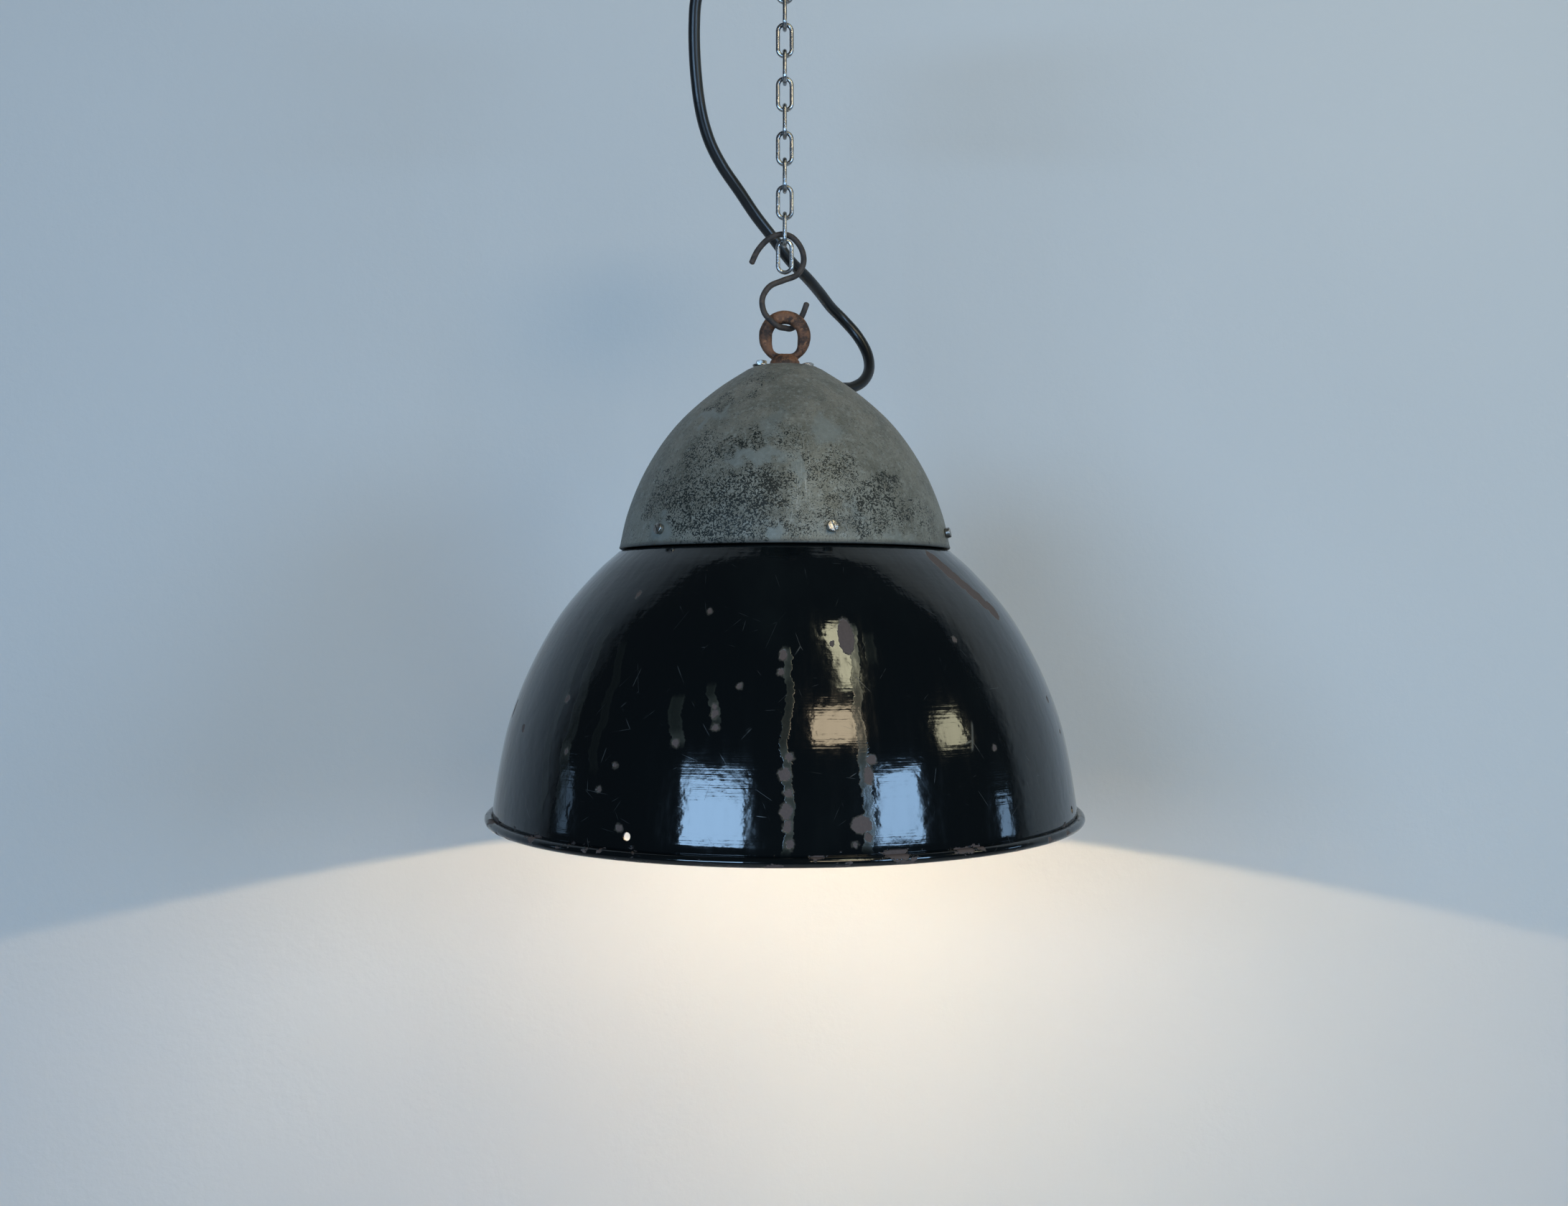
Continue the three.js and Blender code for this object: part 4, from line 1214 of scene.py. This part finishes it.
@dataclass
class Chain:
    """Zinc-plated round wire links, each a quarter turn from the last."""

    wire: float = 1.5
    inner_width: float = 6.6
    inner_length: float = 19.2
    pitch: float = 18.9
    top: float = -57.4

    def run_of(self, name: str, first: int, count: int, finish: Finishes) -> bpy.types.Object:
        """Make a run of links with a node tree.

        Args:
            name: The piece's name.
            first: The number of its first link, from zero at the top.
            count: How many links it has.
            finish: The lamp's materials.

        Returns:
            The links as one mesh.
        """
        tree = Tree("link_run")
        wire = tree.size("Wire radius", self.wire * MM)
        width = tree.size("Width between centres", (self.inner_width + 2 * self.wire) * MM)
        length = tree.size("Length between centres", (self.inner_length + 2 * self.wire) * MM)
        links = tree.size("Links", count)
        pitch = tree.size("Pitch", self.pitch * MM)
        height = tree.size("First link height", (self.top - first * self.pitch) * MM)
        odd = tree.size("First link number", first)
        sizes = {"Width": width, "Height": length}
        outline = tree.node("GeometryNodeCurvePrimitiveQuadrilateral", sizes).outputs[0]
        bend = tree.math("MULTIPLY", width, 0.4995)
        rounding = {"Curve": outline, "Count": 9, "Radius": bend}
        fillet = tree.node("GeometryNodeFilletCurve", rounding, mode="POLY")
        profile = tree.node("GeometryNodeCurvePrimitiveCircle", {"Resolution": 16, "Radius": wire}).outputs[0]
        curves = {"Curve": fillet.outputs[0], "Profile Curve": profile}
        link = tree.node("GeometryNodeCurveToMesh", curves).outputs[0]
        raised = {"Geometry": link, "Rotation": (math.pi / 2, 0, 0)}
        upright = tree.node("GeometryNodeTransform", raised).outputs[0]
        start = tree.node("ShaderNodeCombineXYZ", {2: height}).outputs[0]
        down = tree.node("ShaderNodeCombineXYZ", {2: tree.math("MULTIPLY", pitch, -1.0)}).outputs[0]
        run = {"Count": links, "Start Location": start, "Offset": down}
        points = tree.node("GeometryNodeMeshLine", run).outputs[0]
        index = tree.node("GeometryNodeInputIndex", {}).outputs[0]
        parity = tree.math("MODULO", tree.math("ADD", tree.math("ADD", index, odd), 1.0), 2.0)
        turn = tree.node("ShaderNodeCombineXYZ", {2: tree.math("MULTIPLY", parity, math.pi / 2)}).outputs[0]
        copies = {"Points": points, "Instance": upright, "Rotation": turn}
        placed = tree.node("GeometryNodeInstanceOnPoints", copies)
        return tree.run(name, placed.outputs[0], finish.zinc)

    def build(self, finish: Finishes) -> None:
        """Make the top link, the middle run and the free end link.

        Args:
            finish: The lamp's materials.
        """
        middle = [f"chain_link_{number:02d}" for number in range(2, 12)]
        settle(self.run_of("chain_top_link_piece", 0, 1, finish), Body.TOP_LINK, Slot.ZINC, "chain_link_01")
        settle(self.run_of("chain_links", 1, 10, finish), Body.CHAIN, Slot.ZINC, *middle)
        settle(self.run_of("chain_end_link_piece", 11, 1, finish), Body.END_LINK, Slot.ZINC, "chain_end_link")


@dataclass
class Suspension:
    """The S-hook and the forged eye that it carries."""

    hook_wire: float = 2.05
    hook_line: tuple[tuple[float, float, float], ...] = (
        (-23.6, 1, -270.2), (-18.8, 0.5, -260.7), (-11.5, 0, -253.1), (-2.5, 0, -249.7),
        (4.5, 0, -251.4), (9.7, -0.3, -256.6), (12.8, -0.6, -263.5), (12.8, -1, -271),
        (8.6, -2, -278.4), (-1, -3.5, -282.7), (-10.5, -5.5, -287.4), (-15.6, -7.5, -296.5),
        (-14, -8.4, -306.5), (-8.5, -8, -312.6), (-4.2, -5, -315.2), (0, 0, -315.2), (4.2, 5, -314.6),
        (8.5, 8.2, -311), (12.3, 9, -304.5), (15.8, 9.4, -295.4),
    )
    eye_height: float = -321.2
    hole: float = 8.9
    hole_floor: float = 12.1
    rim: float = 18.1
    depth: float = 7.5
    base: float = 10.5
    seat: float = -342.7

    def build_hook(self, finish: Finishes) -> None:
        """Bend the S-hook from wire.

        Args:
            finish: The lamp's materials.
        """
        line = curve_through(self.hook_line, 0.6) * MM
        count = len(line)
        away = np.minimum(np.arange(count), np.arange(count)[::-1]) * 0.6
        taper = np.sqrt(np.clip(1 - (1 - np.minimum(away / 1.2, 1)) ** 2 * 0.75, 0.05, 1))
        wavy = 1 + 0.012 * np.sin(np.arange(count) * 0.21) + 0.008 * np.sin(np.arange(count) * 0.057)
        made = swept(line, self.hook_wire * MM * taper * wavy, 24).object("s_hook", [finish.hook], 60)
        settle(made, Body.HOOK, Slot.DARK_IRON, "s_hook")

    def ring(self) -> Shell:
        """Return the eye's loop: a round rim about a hole with a flat floor."""
        around, across = 96, 28
        points: list[Point] = []
        for i in range(around):
            angle = 2 * math.pi * i / around
            c, s = math.cos(angle), math.sin(angle)
            floor = self.hole_floor if s < 0 else self.hole
            power = 4.0 if s < 0 else 2.0
            inner = ((abs(c) / self.hole) ** power + (abs(s) / floor) ** power) ** (-1 / power)
            middle, half = (self.rim + inner) / 2, (self.rim - inner) / 2
            for k in range(across):
                turn = 2 * math.pi * k / across
                u, v = math.cos(turn), math.sin(turn)
                size = (abs(u) ** 2.6 + abs(v) ** 2.6) ** (-1 / 2.6)
                wide = middle + half * u * size
                points.append((wide * c, self.depth / 2 * v * size, self.eye_height + wide * s))
        faces = [
            (i * across + k, ((i + 1) % around) * across + k, ((i + 1) % around) * across + (k + 1) % across,
             i * across + (k + 1) % across)
            for i in range(around) for k in range(across)
        ]
        return Shell().add(points, faces)

    def shank_thread(self, angle: float, z: float) -> float:
        """Return the extra radius of the shank's thread."""
        depth, pitch = 0.18, 1.5
        return depth * MM * math.cos(angle + z / MM * 2 * math.pi / pitch)

    def build_eye(self, finish: Finishes) -> None:
        """Forge the eye: its loop and base are grown together and roughened.

        Args:
            finish: The lamp's materials.
        """
        shell = self.ring()
        neck = [(0, self.seat + 9), (6.5, self.seat + 8.6), (8.6, self.seat + 6.2), (10.3, self.seat + 3.6),
                (self.base, self.seat + 1.5), (self.base, self.seat), (0, self.seat)]
        shell.join(turned(neck, 48))
        shell.points = [(p[0] * MM, p[1] * MM, p[2] * MM) for p in shell.points]
        rough = shell.object("eye_blank", [finish.rust])
        remesh = rough.modifiers.new("grow_together", "REMESH")
        remesh.mode = "VOXEL"
        remesh.voxel_size = 0.55 * MM
        soften = rough.modifiers.new("soften", "SMOOTH")
        soften.factor, soften.iterations = 0.5, 5
        made = frozen(rough, "suspension_eye")
        for vertex in made.data.vertices:
            bumps = noise.noise(vertex.co * 260) * 0.16 + noise.noise(vertex.co * 700) * 0.07
            vertex.co += vertex.normal * bumps * MM
            vertex.co.z = max(vertex.co.z, self.seat * MM)
        made.data.polygons.foreach_set("use_smooth", [True] * len(made.data.polygons))
        settle(made, Body.LAMP, Slot.RUSTY_IRON, "suspension_eye")
        line = [(0, -342.8), (5, -342.8), (5, -361.2), (4.4, -362), (0, -362)]
        shank = turned(millimetres(line), 32, self.shank_thread)
        settle(shank.object("eye_shank", [finish.rust]), Body.LAMP, Slot.RUSTY_IRON)


@dataclass
class CastCap:
    """The bullet-shaped cast cap with its gland boss."""

    top: float = -343.0
    edge: float = -470.5
    wall: float = 4.0
    outline: tuple[tuple[float, float], ...] = (
        (23, 0), (50, 18.2), (76.6, 42.8), (96.9, 73), (109.3, 103), (115, 127.5),
    )

    def profile(self) -> tuple[np.ndarray, np.ndarray]:
        """Return the outer and inner lines of the wall in millimetres."""
        outer = curve_through([(r, self.top - drop) for r, drop in self.outline], 2.4)
        way = np.gradient(outer, axis=0)
        way /= np.linalg.norm(way, axis=1)[:, None]
        inner = outer + np.column_stack([way[:, 1], -way[:, 0]]) * self.wall
        return outer, inner

    def build(self, finish: Finishes, cable: SupplyCable) -> None:
        """Cast the cap.

        Args:
            finish: The lamp's materials.
            cable: The cable whose gland sets the boss's place.
        """
        outer, inner = self.profile()
        crown = [[0, self.top], [8, self.top], [16, self.top - 0.02], [20.5, self.top - 0.1]]
        outside = crown + [[23.2, self.top - 0.9]] + outer[2:-1].tolist()
        edge = [[114.95, self.edge + 1.0], [114.6, self.edge + 0.25], [113.9, self.edge], [111.6, self.edge]]
        roof = self.top - self.wall
        room = [p for p in inner[::-1].tolist() if p[1] < roof - 0.5 and p[1] > self.edge + 4]
        inside = [[111, self.edge + 0.6], [111, self.edge + 3], *room, [21, roof], [0, roof]]
        shell = turned(millimetres([*outside, *edge, *inside]), 192)
        boss = [[0, 4.0], [7.4, 4.0], [10.6, 4.0], [11, 3.5], [11, 1.5], [11.6, -2], [13.2, -5], [13.2, -7]]
        boss += [[0, -7]]
        place = aimed(cable.way, Vector(cable.gland) * MM)
        shell.join(turned(millimetres(round_corners(boss, 0.6)), 64).moved(place))
        settle(shell.object("cast_cap", [finish.cast]), Body.LAMP, Slot.CAST_ALUMINIUM, "cast_cap")


@dataclass
class EnamelShade:
    """The spun steel shade with its rolled bead and four small holes."""

    edge: float = -470.5
    wall: float = 1.2
    segments: int = 360
    outline: tuple[tuple[float, float], ...] = (
        (115, 1.6), (129.6, 14.8), (154.7, 44.4), (175.1, 80.8), (188.9, 116.8), (195.3, 145.5), (198.8, 167),
    )
    bead_centre: tuple[float, float] = (202.4, -652.1)
    bead_radius: float = 3.0
    hole_turns: tuple[int, ...] = (-27, 69, 159, 249)
    hole_radius: float = 2.5
    hole_height: float = -642.1

    def rows(self) -> tuple[np.ndarray, np.ndarray]:
        """Return matching outer and inner rows of the wall in millimetres, from the neck to the bead."""
        top, foot = self.edge + 22, self.edge + 3
        neck = [(105.2, top), (105.2, foot), (106.4, self.edge + 0.4), (110.4, self.edge - 0.5)]
        neck = curve_through(round_corners(neck, 1.5), 1.6)
        wall = [(r, self.edge - drop) for r, drop in self.outline] + [(199.9, -646.2)]
        wall = curve_through(wall, 2.3)
        outer = np.vstack([neck[:-1], wall])
        way = np.gradient(outer, axis=0)
        way /= np.linalg.norm(way, axis=1)[:, None]
        inner = outer + np.column_stack([way[:, 1], -way[:, 0]]) * self.wall
        return outer, inner

    def bead(self) -> list[Point]:
        """Return the rolled edge's outline in millimetres, from the groove round to the inside."""
        r, z = self.bead_centre
        turns = [150, 128, 105, 82, 60, 38, 15, -8, -30, -52, -75, -98, -120, -142, -163]
        ways = [Vector((math.cos(math.radians(a)), math.sin(math.radians(a)))) for a in turns]
        return [(r + self.bead_radius * way.x, z + self.bead_radius * way.y) for way in ways]

    def build(self, finish: Finishes) -> None:
        """Spin the shade, black outside and white inside.

        Args:
            finish: The lamp's materials.
        """
        outer, inner = self.rows()
        bead = self.bead()
        count = len(outer)
        loop = [*outer.tolist(), *bead, *inner[::-1].tolist()]
        first_inner = count + len(bead)
        cell = 2
        row = int(np.argmin(np.abs(outer[:, 1] - self.hole_height)))
        row = min(row, count - 1 - cell)
        shell = Shell()
        points: list[Point] = []
        for r, z in loop:
            for k in range(self.segments):
                angle = 2 * math.pi * k / self.segments
                points.append((r * MM * math.sin(angle), -r * MM * math.cos(angle), z * MM))
        total = len(loop)
        skipped = self.skipped(row, cell, total)
        black: list[tuple[int, ...]] = []
        white: list[tuple[int, ...]] = []
        for i in range(total):
            j = (i + 1) % total
            for k in range(self.segments):
                if (i, k) in skipped:
                    continue
                n = (k + 1) % self.segments
                here, there = i * self.segments, j * self.segments
                face = (here + k, there + k, there + n, here + n)
                (white if first_inner - 1 <= i < total - 1 else black).append(face)
        for turn in self.hole_turns:
            self.pierce(points, black, (outer, inner), (row, cell, total), turn % 360)
        shell.add(points, black, 0)
        shell.faces.extend(white)
        shell.slots.extend([1] * len(white))
        made = shell.object("enamel_shade", [finish.enamel, finish.white], 34)
        settle(made, Body.LAMP, Slot.BLACK_ENAMEL, "enamel_shade")

    def skipped(self, row: int, cell: int, total: int) -> set[tuple[int, int]]:
        """Return the cells that the holes take out of both walls."""
        out: set[tuple[int, int]] = set()
        for turn in self.hole_turns:
            for i in range(row - cell, row + cell):
                for k in range(turn - cell, turn + cell):
                    out.add((i, k % self.segments))
                    out.add((total - 2 - i, k % self.segments))
        return out

    def pierce(self, points: list[Point], faces: list[tuple[int, ...]], walls: tuple[np.ndarray, np.ndarray],
               rows: tuple[int, int, int], turn: int) -> None:
        """Fill a gap in both walls with a round hole.

        Args:
            points: The shade's vertices, to which the hole's are added.
            faces: The faces, likewise.
            walls: The outer and the inner rows.
            rows: The row at the hole's middle, the gap's reach each way, and the rows in the whole loop.
            turn: The column at the hole's middle.
        """
        row, cell, total = rows
        border = [(row - cell, turn + k) for k in range(-cell, cell)]
        border += [(row + k, turn + cell) for k in range(-cell, cell)]
        border += [(row + cell, turn - k) for k in range(-cell, cell)]
        border += [(row - k, turn - cell) for k in range(-cell, cell)]
        rings: list[list[int]] = []
        for line, number in zip(walls, (lambda i: i, lambda i: total - 1 - i)):
            centre = Vector((line[row][0], line[row][1]))
            edge = [number(i) * self.segments + k % self.segments for i, k in border]
            circle: list[int] = []
            for i, k in border:
                along = math.radians(k - turn) * line[row][0]
                down = (Vector((line[i][0], line[i][1])) - centre).length * np.sign(i - row)
                scale = self.hole_radius / math.hypot(along, down)
                angle = math.radians(turn) + along * scale / line[row][0]
                step = down * scale
                side = line[row + 1] if step > 0 else line[row - 1]
                reach = (Vector((side[0], side[1])) - centre).length
                spot = centre.lerp(Vector((side[0], side[1])), abs(step) / reach)
                circle.append(len(points))
                points.append((spot.x * MM * math.sin(angle), -spot.x * MM * math.cos(angle), spot.y * MM))
            rings += [edge, circle]
        steps = len(border)
        for a in range(steps):
            b = (a + 1) % steps
            faces.append((rings[0][a], rings[1][a], rings[1][b], rings[0][b]))
            faces.append((rings[3][a], rings[2][a], rings[2][b], rings[3][b]))
            faces.append((rings[1][a], rings[3][a], rings[3][b], rings[1][b]))


@dataclass
class Fasteners:
    """The slotted side screws and the two hexagon screws on the crown."""

    seat_radius: float = 113.1
    seat_height: float = -460.3
    lean: float = 13.0
    first_turn: float = 15.0
    head: float = 3.6
    height: float = 3.4
    slot_turns: tuple[float, ...] = (110, 74, -35, 8, 58, 130)
    hex_at: tuple[tuple[float, float], ...] = ((-16.3, -5.0), (16.3, 5.0))

    def slotted(self, finish: Finishes) -> bpy.types.Object:
        """Return one slotted cheese-head screw about +Z."""
        line = [(0, self.height), (self.head - 0.15, self.height - 0.25), (self.head, 0.12), (1.9, 0.12)]
        line += [(1.9, -9.6), (0, -10)]
        shell = turned(millimetres(round_corners(line, 0.35)), 40)
        screw = shell.object("screw_blank", [finish.screw])
        low, high = self.height - 1.25, self.height + 1
        corners = [(x, y, z) for z in (low, high) for x, y in ((-5, -0.5), (5, -0.5), (5, 0.5), (-5, 0.5))]
        sides = [(3, 2, 1, 0), (4, 5, 6, 7), (0, 1, 5, 4), (1, 2, 6, 5), (2, 3, 7, 6), (3, 0, 4, 7)]
        block = Shell().add([[c * MM for c in p] for p in corners], sides)
        cutter = block.object("slot_cutter", [finish.screw])
        cut = screw.modifiers.new("slot", "BOOLEAN")
        cut.operation, cut.object, cut.solver = "DIFFERENCE", cutter, "EXACT"
        made = frozen(screw, "screw_one")
        bpy.data.objects.remove(cutter)
        return made

    def build_side_screws(self, finish: Finishes) -> None:
        """Set six screws round the cap with a node tree.

        Args:
            finish: The lamp's materials.
        """
        screw = self.slotted(finish)
        tree = Tree("screw_ring")
        pattern = tree.size("Screw", screw)
        radius = tree.size("Seat radius", self.seat_radius * MM)
        height = tree.size("Seat height", self.seat_height * MM)
        lean = tree.size("Lean", math.radians(self.lean))
        first = tree.size("First turn", math.radians(self.first_turn))
        turns = [tree.size(f"Slot turn {n + 1}", math.radians(t)) for n, t in enumerate(self.slot_turns)]
        index = tree.node("GeometryNodeInputIndex", {}).outputs[0]
        angle = tree.math("ADD", first, tree.math("MULTIPLY", index, math.pi / 3))
        picked = tree.node("GeometryNodeIndexSwitch", {"Index": index}, data_type="FLOAT")
        while len(picked.index_switch_items) < len(turns):
            picked.index_switch_items.new()
        for number, socket in enumerate(turns):
            tree.group.links.new(socket, picked.inputs[number + 1])
        across = tree.math("MULTIPLY", radius, tree.math("SINE", angle))
        ahead = tree.math("MULTIPLY", tree.math("MULTIPLY", radius, tree.math("COSINE", angle)), -1.0)
        spot = tree.node("ShaderNodeCombineXYZ", {0: across, 1: ahead, 2: height}).outputs[0]
        points = tree.node("GeometryNodePoints", {"Count": len(turns), "Position": spot}).outputs[0]
        tip = tree.math("SUBTRACT", math.pi / 2, lean)
        rotation = tree.node("ShaderNodeCombineXYZ", {0: tip, 2: angle}).outputs[0]
        spin = tree.node("ShaderNodeCombineXYZ", {2: picked.outputs[0]}).outputs[0]
        joined = tree.node("FunctionNodeRotateRotation", {0: rotation, 1: spin}, rotation_space="LOCAL")
        source = tree.node("GeometryNodeObjectInfo", {"Object": pattern}).outputs["Geometry"]
        copies = {"Points": points, "Instance": source, "Rotation": joined.outputs[0]}
        placed = tree.node("GeometryNodeInstanceOnPoints", copies)
        made = tree.run("side_screws", placed.outputs[0], finish.screw)
        bpy.data.objects.remove(screw)
        settle(made, Body.LAMP, Slot.SCREW, *[f"side_screw_{n}" for n in range(1, 7)])

    def build_hex_screws(self, finish: Finishes) -> None:
        """Seat the two hexagon screws and their washers.

        Args:
            finish: The lamp's materials.
        """
        for (x, y), label, turn in zip(self.hex_at, ("front", "rear"), (12, 33)):
            place = Matrix.Translation((x * MM, y * MM, 0)) @ Matrix.Rotation(math.radians(turn), 4, "Z")
            ring = round_corners([(2.2, -341.7), (6.1, -341.7), (6.1, -342.7), (2.2, -342.7)], 0.25)
            name = f"top_washer_{label}"
            washer = turned(millimetres(ring), 48).moved(place)
            settle(washer.object(name, [finish.screw]), Body.LAMP, Slot.SCREW, name)
            head = prism(7 * MM, -341.4 * MM, -339.0 * MM, 0.4 * MM)
            shank = [(0, -341), (1.9, -341), (1.9, -355.6), (1.5, -356), (0, -356)]
            head.join(turned(millimetres(shank), 24)).moved(place)
            name = f"top_hex_screw_{label}"
            settle(head.object(name, [finish.screw], 25), Body.LAMP, Slot.SCREW, name)


@dataclass
class Lampholder:
    """The porcelain holder, its screw shell and the lit bulb, hung from the bracket's bridge."""

    bridge: float = -460.0
    radius: float = 23.0
    bore: float = 14.7
    depth: float = 64.7
    roof: float = 24.7
    pitch: float = 3.6

    def below(self, outline: Iterable[Point]) -> Ring:
        """Return an outline in metres from radii and drops below the bridge in millimetres."""
        return [[r * MM, (self.bridge - drop) * MM] for r, drop in outline]

    def thread(self, depth: float) -> Thread:
        """Return a round screw thread of the holder's pitch.

        Args:
            depth: Its depth in millimetres.

        Returns:
            The extra radius for an angle and a height, in metres.
        """
        return lambda angle, z: depth * MM * math.cos(angle + z / MM * 2 * math.pi / self.pitch)

    def build(self, finish: Finishes) -> None:
        """Make the holder, the shell and the bulb.

        Args:
            finish: The lamp's materials.
        """
        wide, foot = self.radius, 0.3 + self.depth
        waist, roof = wide - 0.8, 0.3 + self.roof
        outside = [(4.0, 0.3), (15, 0.3), (21, 7.3), (wide, 16.3), (wide, 24), (waist, 25.5), (waist, 29)]
        outside += [(wide, 30.5), (wide, foot - 3), (wide - 2, foot), (self.bore, foot), (self.bore, roof)]
        inside = [(0, roof), (0, 10.3), (4.0, 10.3)]
        outline = self.below([*round_corners(outside, 1.2), *inside])
        made = turned(outline, 96).object("lampholder_body", [finish.porcelain])
        settle(made, Body.LAMP, Slot.PORCELAIN, "lampholder_body")
        drops = np.arange(27.0, foot - 6, 0.45)
        rings = self.below([*[(14.1, drop) for drop in drops], *[(13.85, drop) for drop in drops[::-1]]])
        shell = turned(rings, 72, self.thread(0.2)).object("lampholder_screw_shell", [finish.brass])
        settle(shell, Body.LAMP, Slot.BRASS, "lampholder_screw_shell")
        self.build_bulb(finish)

    def build_bulb(self, finish: Finishes) -> None:
        """Blow the bulb and screw on its cap.

        Args:
            finish: The lamp's materials.
        """
        threaded = [(12.9, drop) for drop in np.arange(34.0, 53.2, 0.45)]
        line = [(0, 30.3), (7.6, 30.6), (10.2, 32.2), *threaded, (12.7, 54.6), (12.4, 56.5), (0, 56.5)]
        cap = turned(self.below(line), 72, self.cap_thread)
        settle(cap.object("bulb_cap", [finish.zinc]), Body.BULB, Slot.ZINC, "bulb_cap")
        bulb = [(12.4, 56.8), (12.9, 61), (14.2, 69), (19.5, 78), (27.5, 88), (32.0, 99), (32.4, 108)]
        bulb += [(30.6, 118), (25.2, 128), (15.4, 135.6), (5.5, 138.3), (0.0, 138.5)]
        curved = [(max(r, 0), drop) for r, drop in curve_through(bulb, 1.2)]
        glass = turned(self.below([(0, 56.8), *curved]), 96)
        settle(glass.object("bulb_glass", [finish.glass]), Body.BULB, Slot.GLASS, "bulb_glass")

    def cap_thread(self, angle: float, z: float) -> float:
        """Return the bulb cap's thread, which fades at both ends."""
        drop = self.bridge - z / MM
        fade = min(1.0, max(0.0, (drop - 33.0) / 2), max(0.0, (54.5 - drop) / 2))
        return 0.28 * MM * fade * math.cos(angle - drop * 2 * math.pi / self.pitch)


def dress_solids(finish: Finishes) -> None:
    """Give the frame's own solids their materials.

    Args:
        finish: The lamp's materials.
    """
    table = {
        "rose_backplate": finish.zinc, "rose_terminal_block": finish.bakelite, "eye_washer": finish.zinc,
        "eye_nut": finish.zinc, "top_screw_nut_front": finish.zinc, "top_screw_nut_rear": finish.zinc,
        "holder_bracket": finish.zinc, "holder_bolt": finish.zinc, "lampholder_centre_contact": finish.brass,
        "bulb_contact": finish.brass, "live_lead": finish.live, "neutral_lead": finish.neutral,
    }
    for name, material in table.items():
        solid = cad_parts[name]
        solid.data.materials.clear()
        solid.data.materials.append(material)
        LOG.info("%s: %s", name, material.name)


def main() -> None:
    """Build the whole lamp and its studio."""
    logging.basicConfig(level=logging.INFO, format="%(message)s")
    studio = Studio()
    studio.camera()
    finish = Finishes()
    cable = SupplyCable()
    cable.build(finish)
    cable.build_sleeve(finish)
    studio.lights()
    studio.world()
    studio.surroundings()
    CeilingRose().build(finish)
    Chain().build(finish)
    suspension = Suspension()
    suspension.build_hook(finish)
    suspension.build_eye(finish)
    CastCap().build(finish, cable)
    EnamelShade().build(finish)
    fasteners = Fasteners()
    fasteners.build_side_screws(finish)
    fasteners.build_hex_screws(finish)
    Lampholder().build(finish)
    dress_solids(finish)
    boxes = {"cad": CAD_BOX, "visual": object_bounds()}
    boxes = {name: [list(map(float, corner)) for corner in box] for name, box in boxes.items()}


if __name__ == "__main__":
    main()
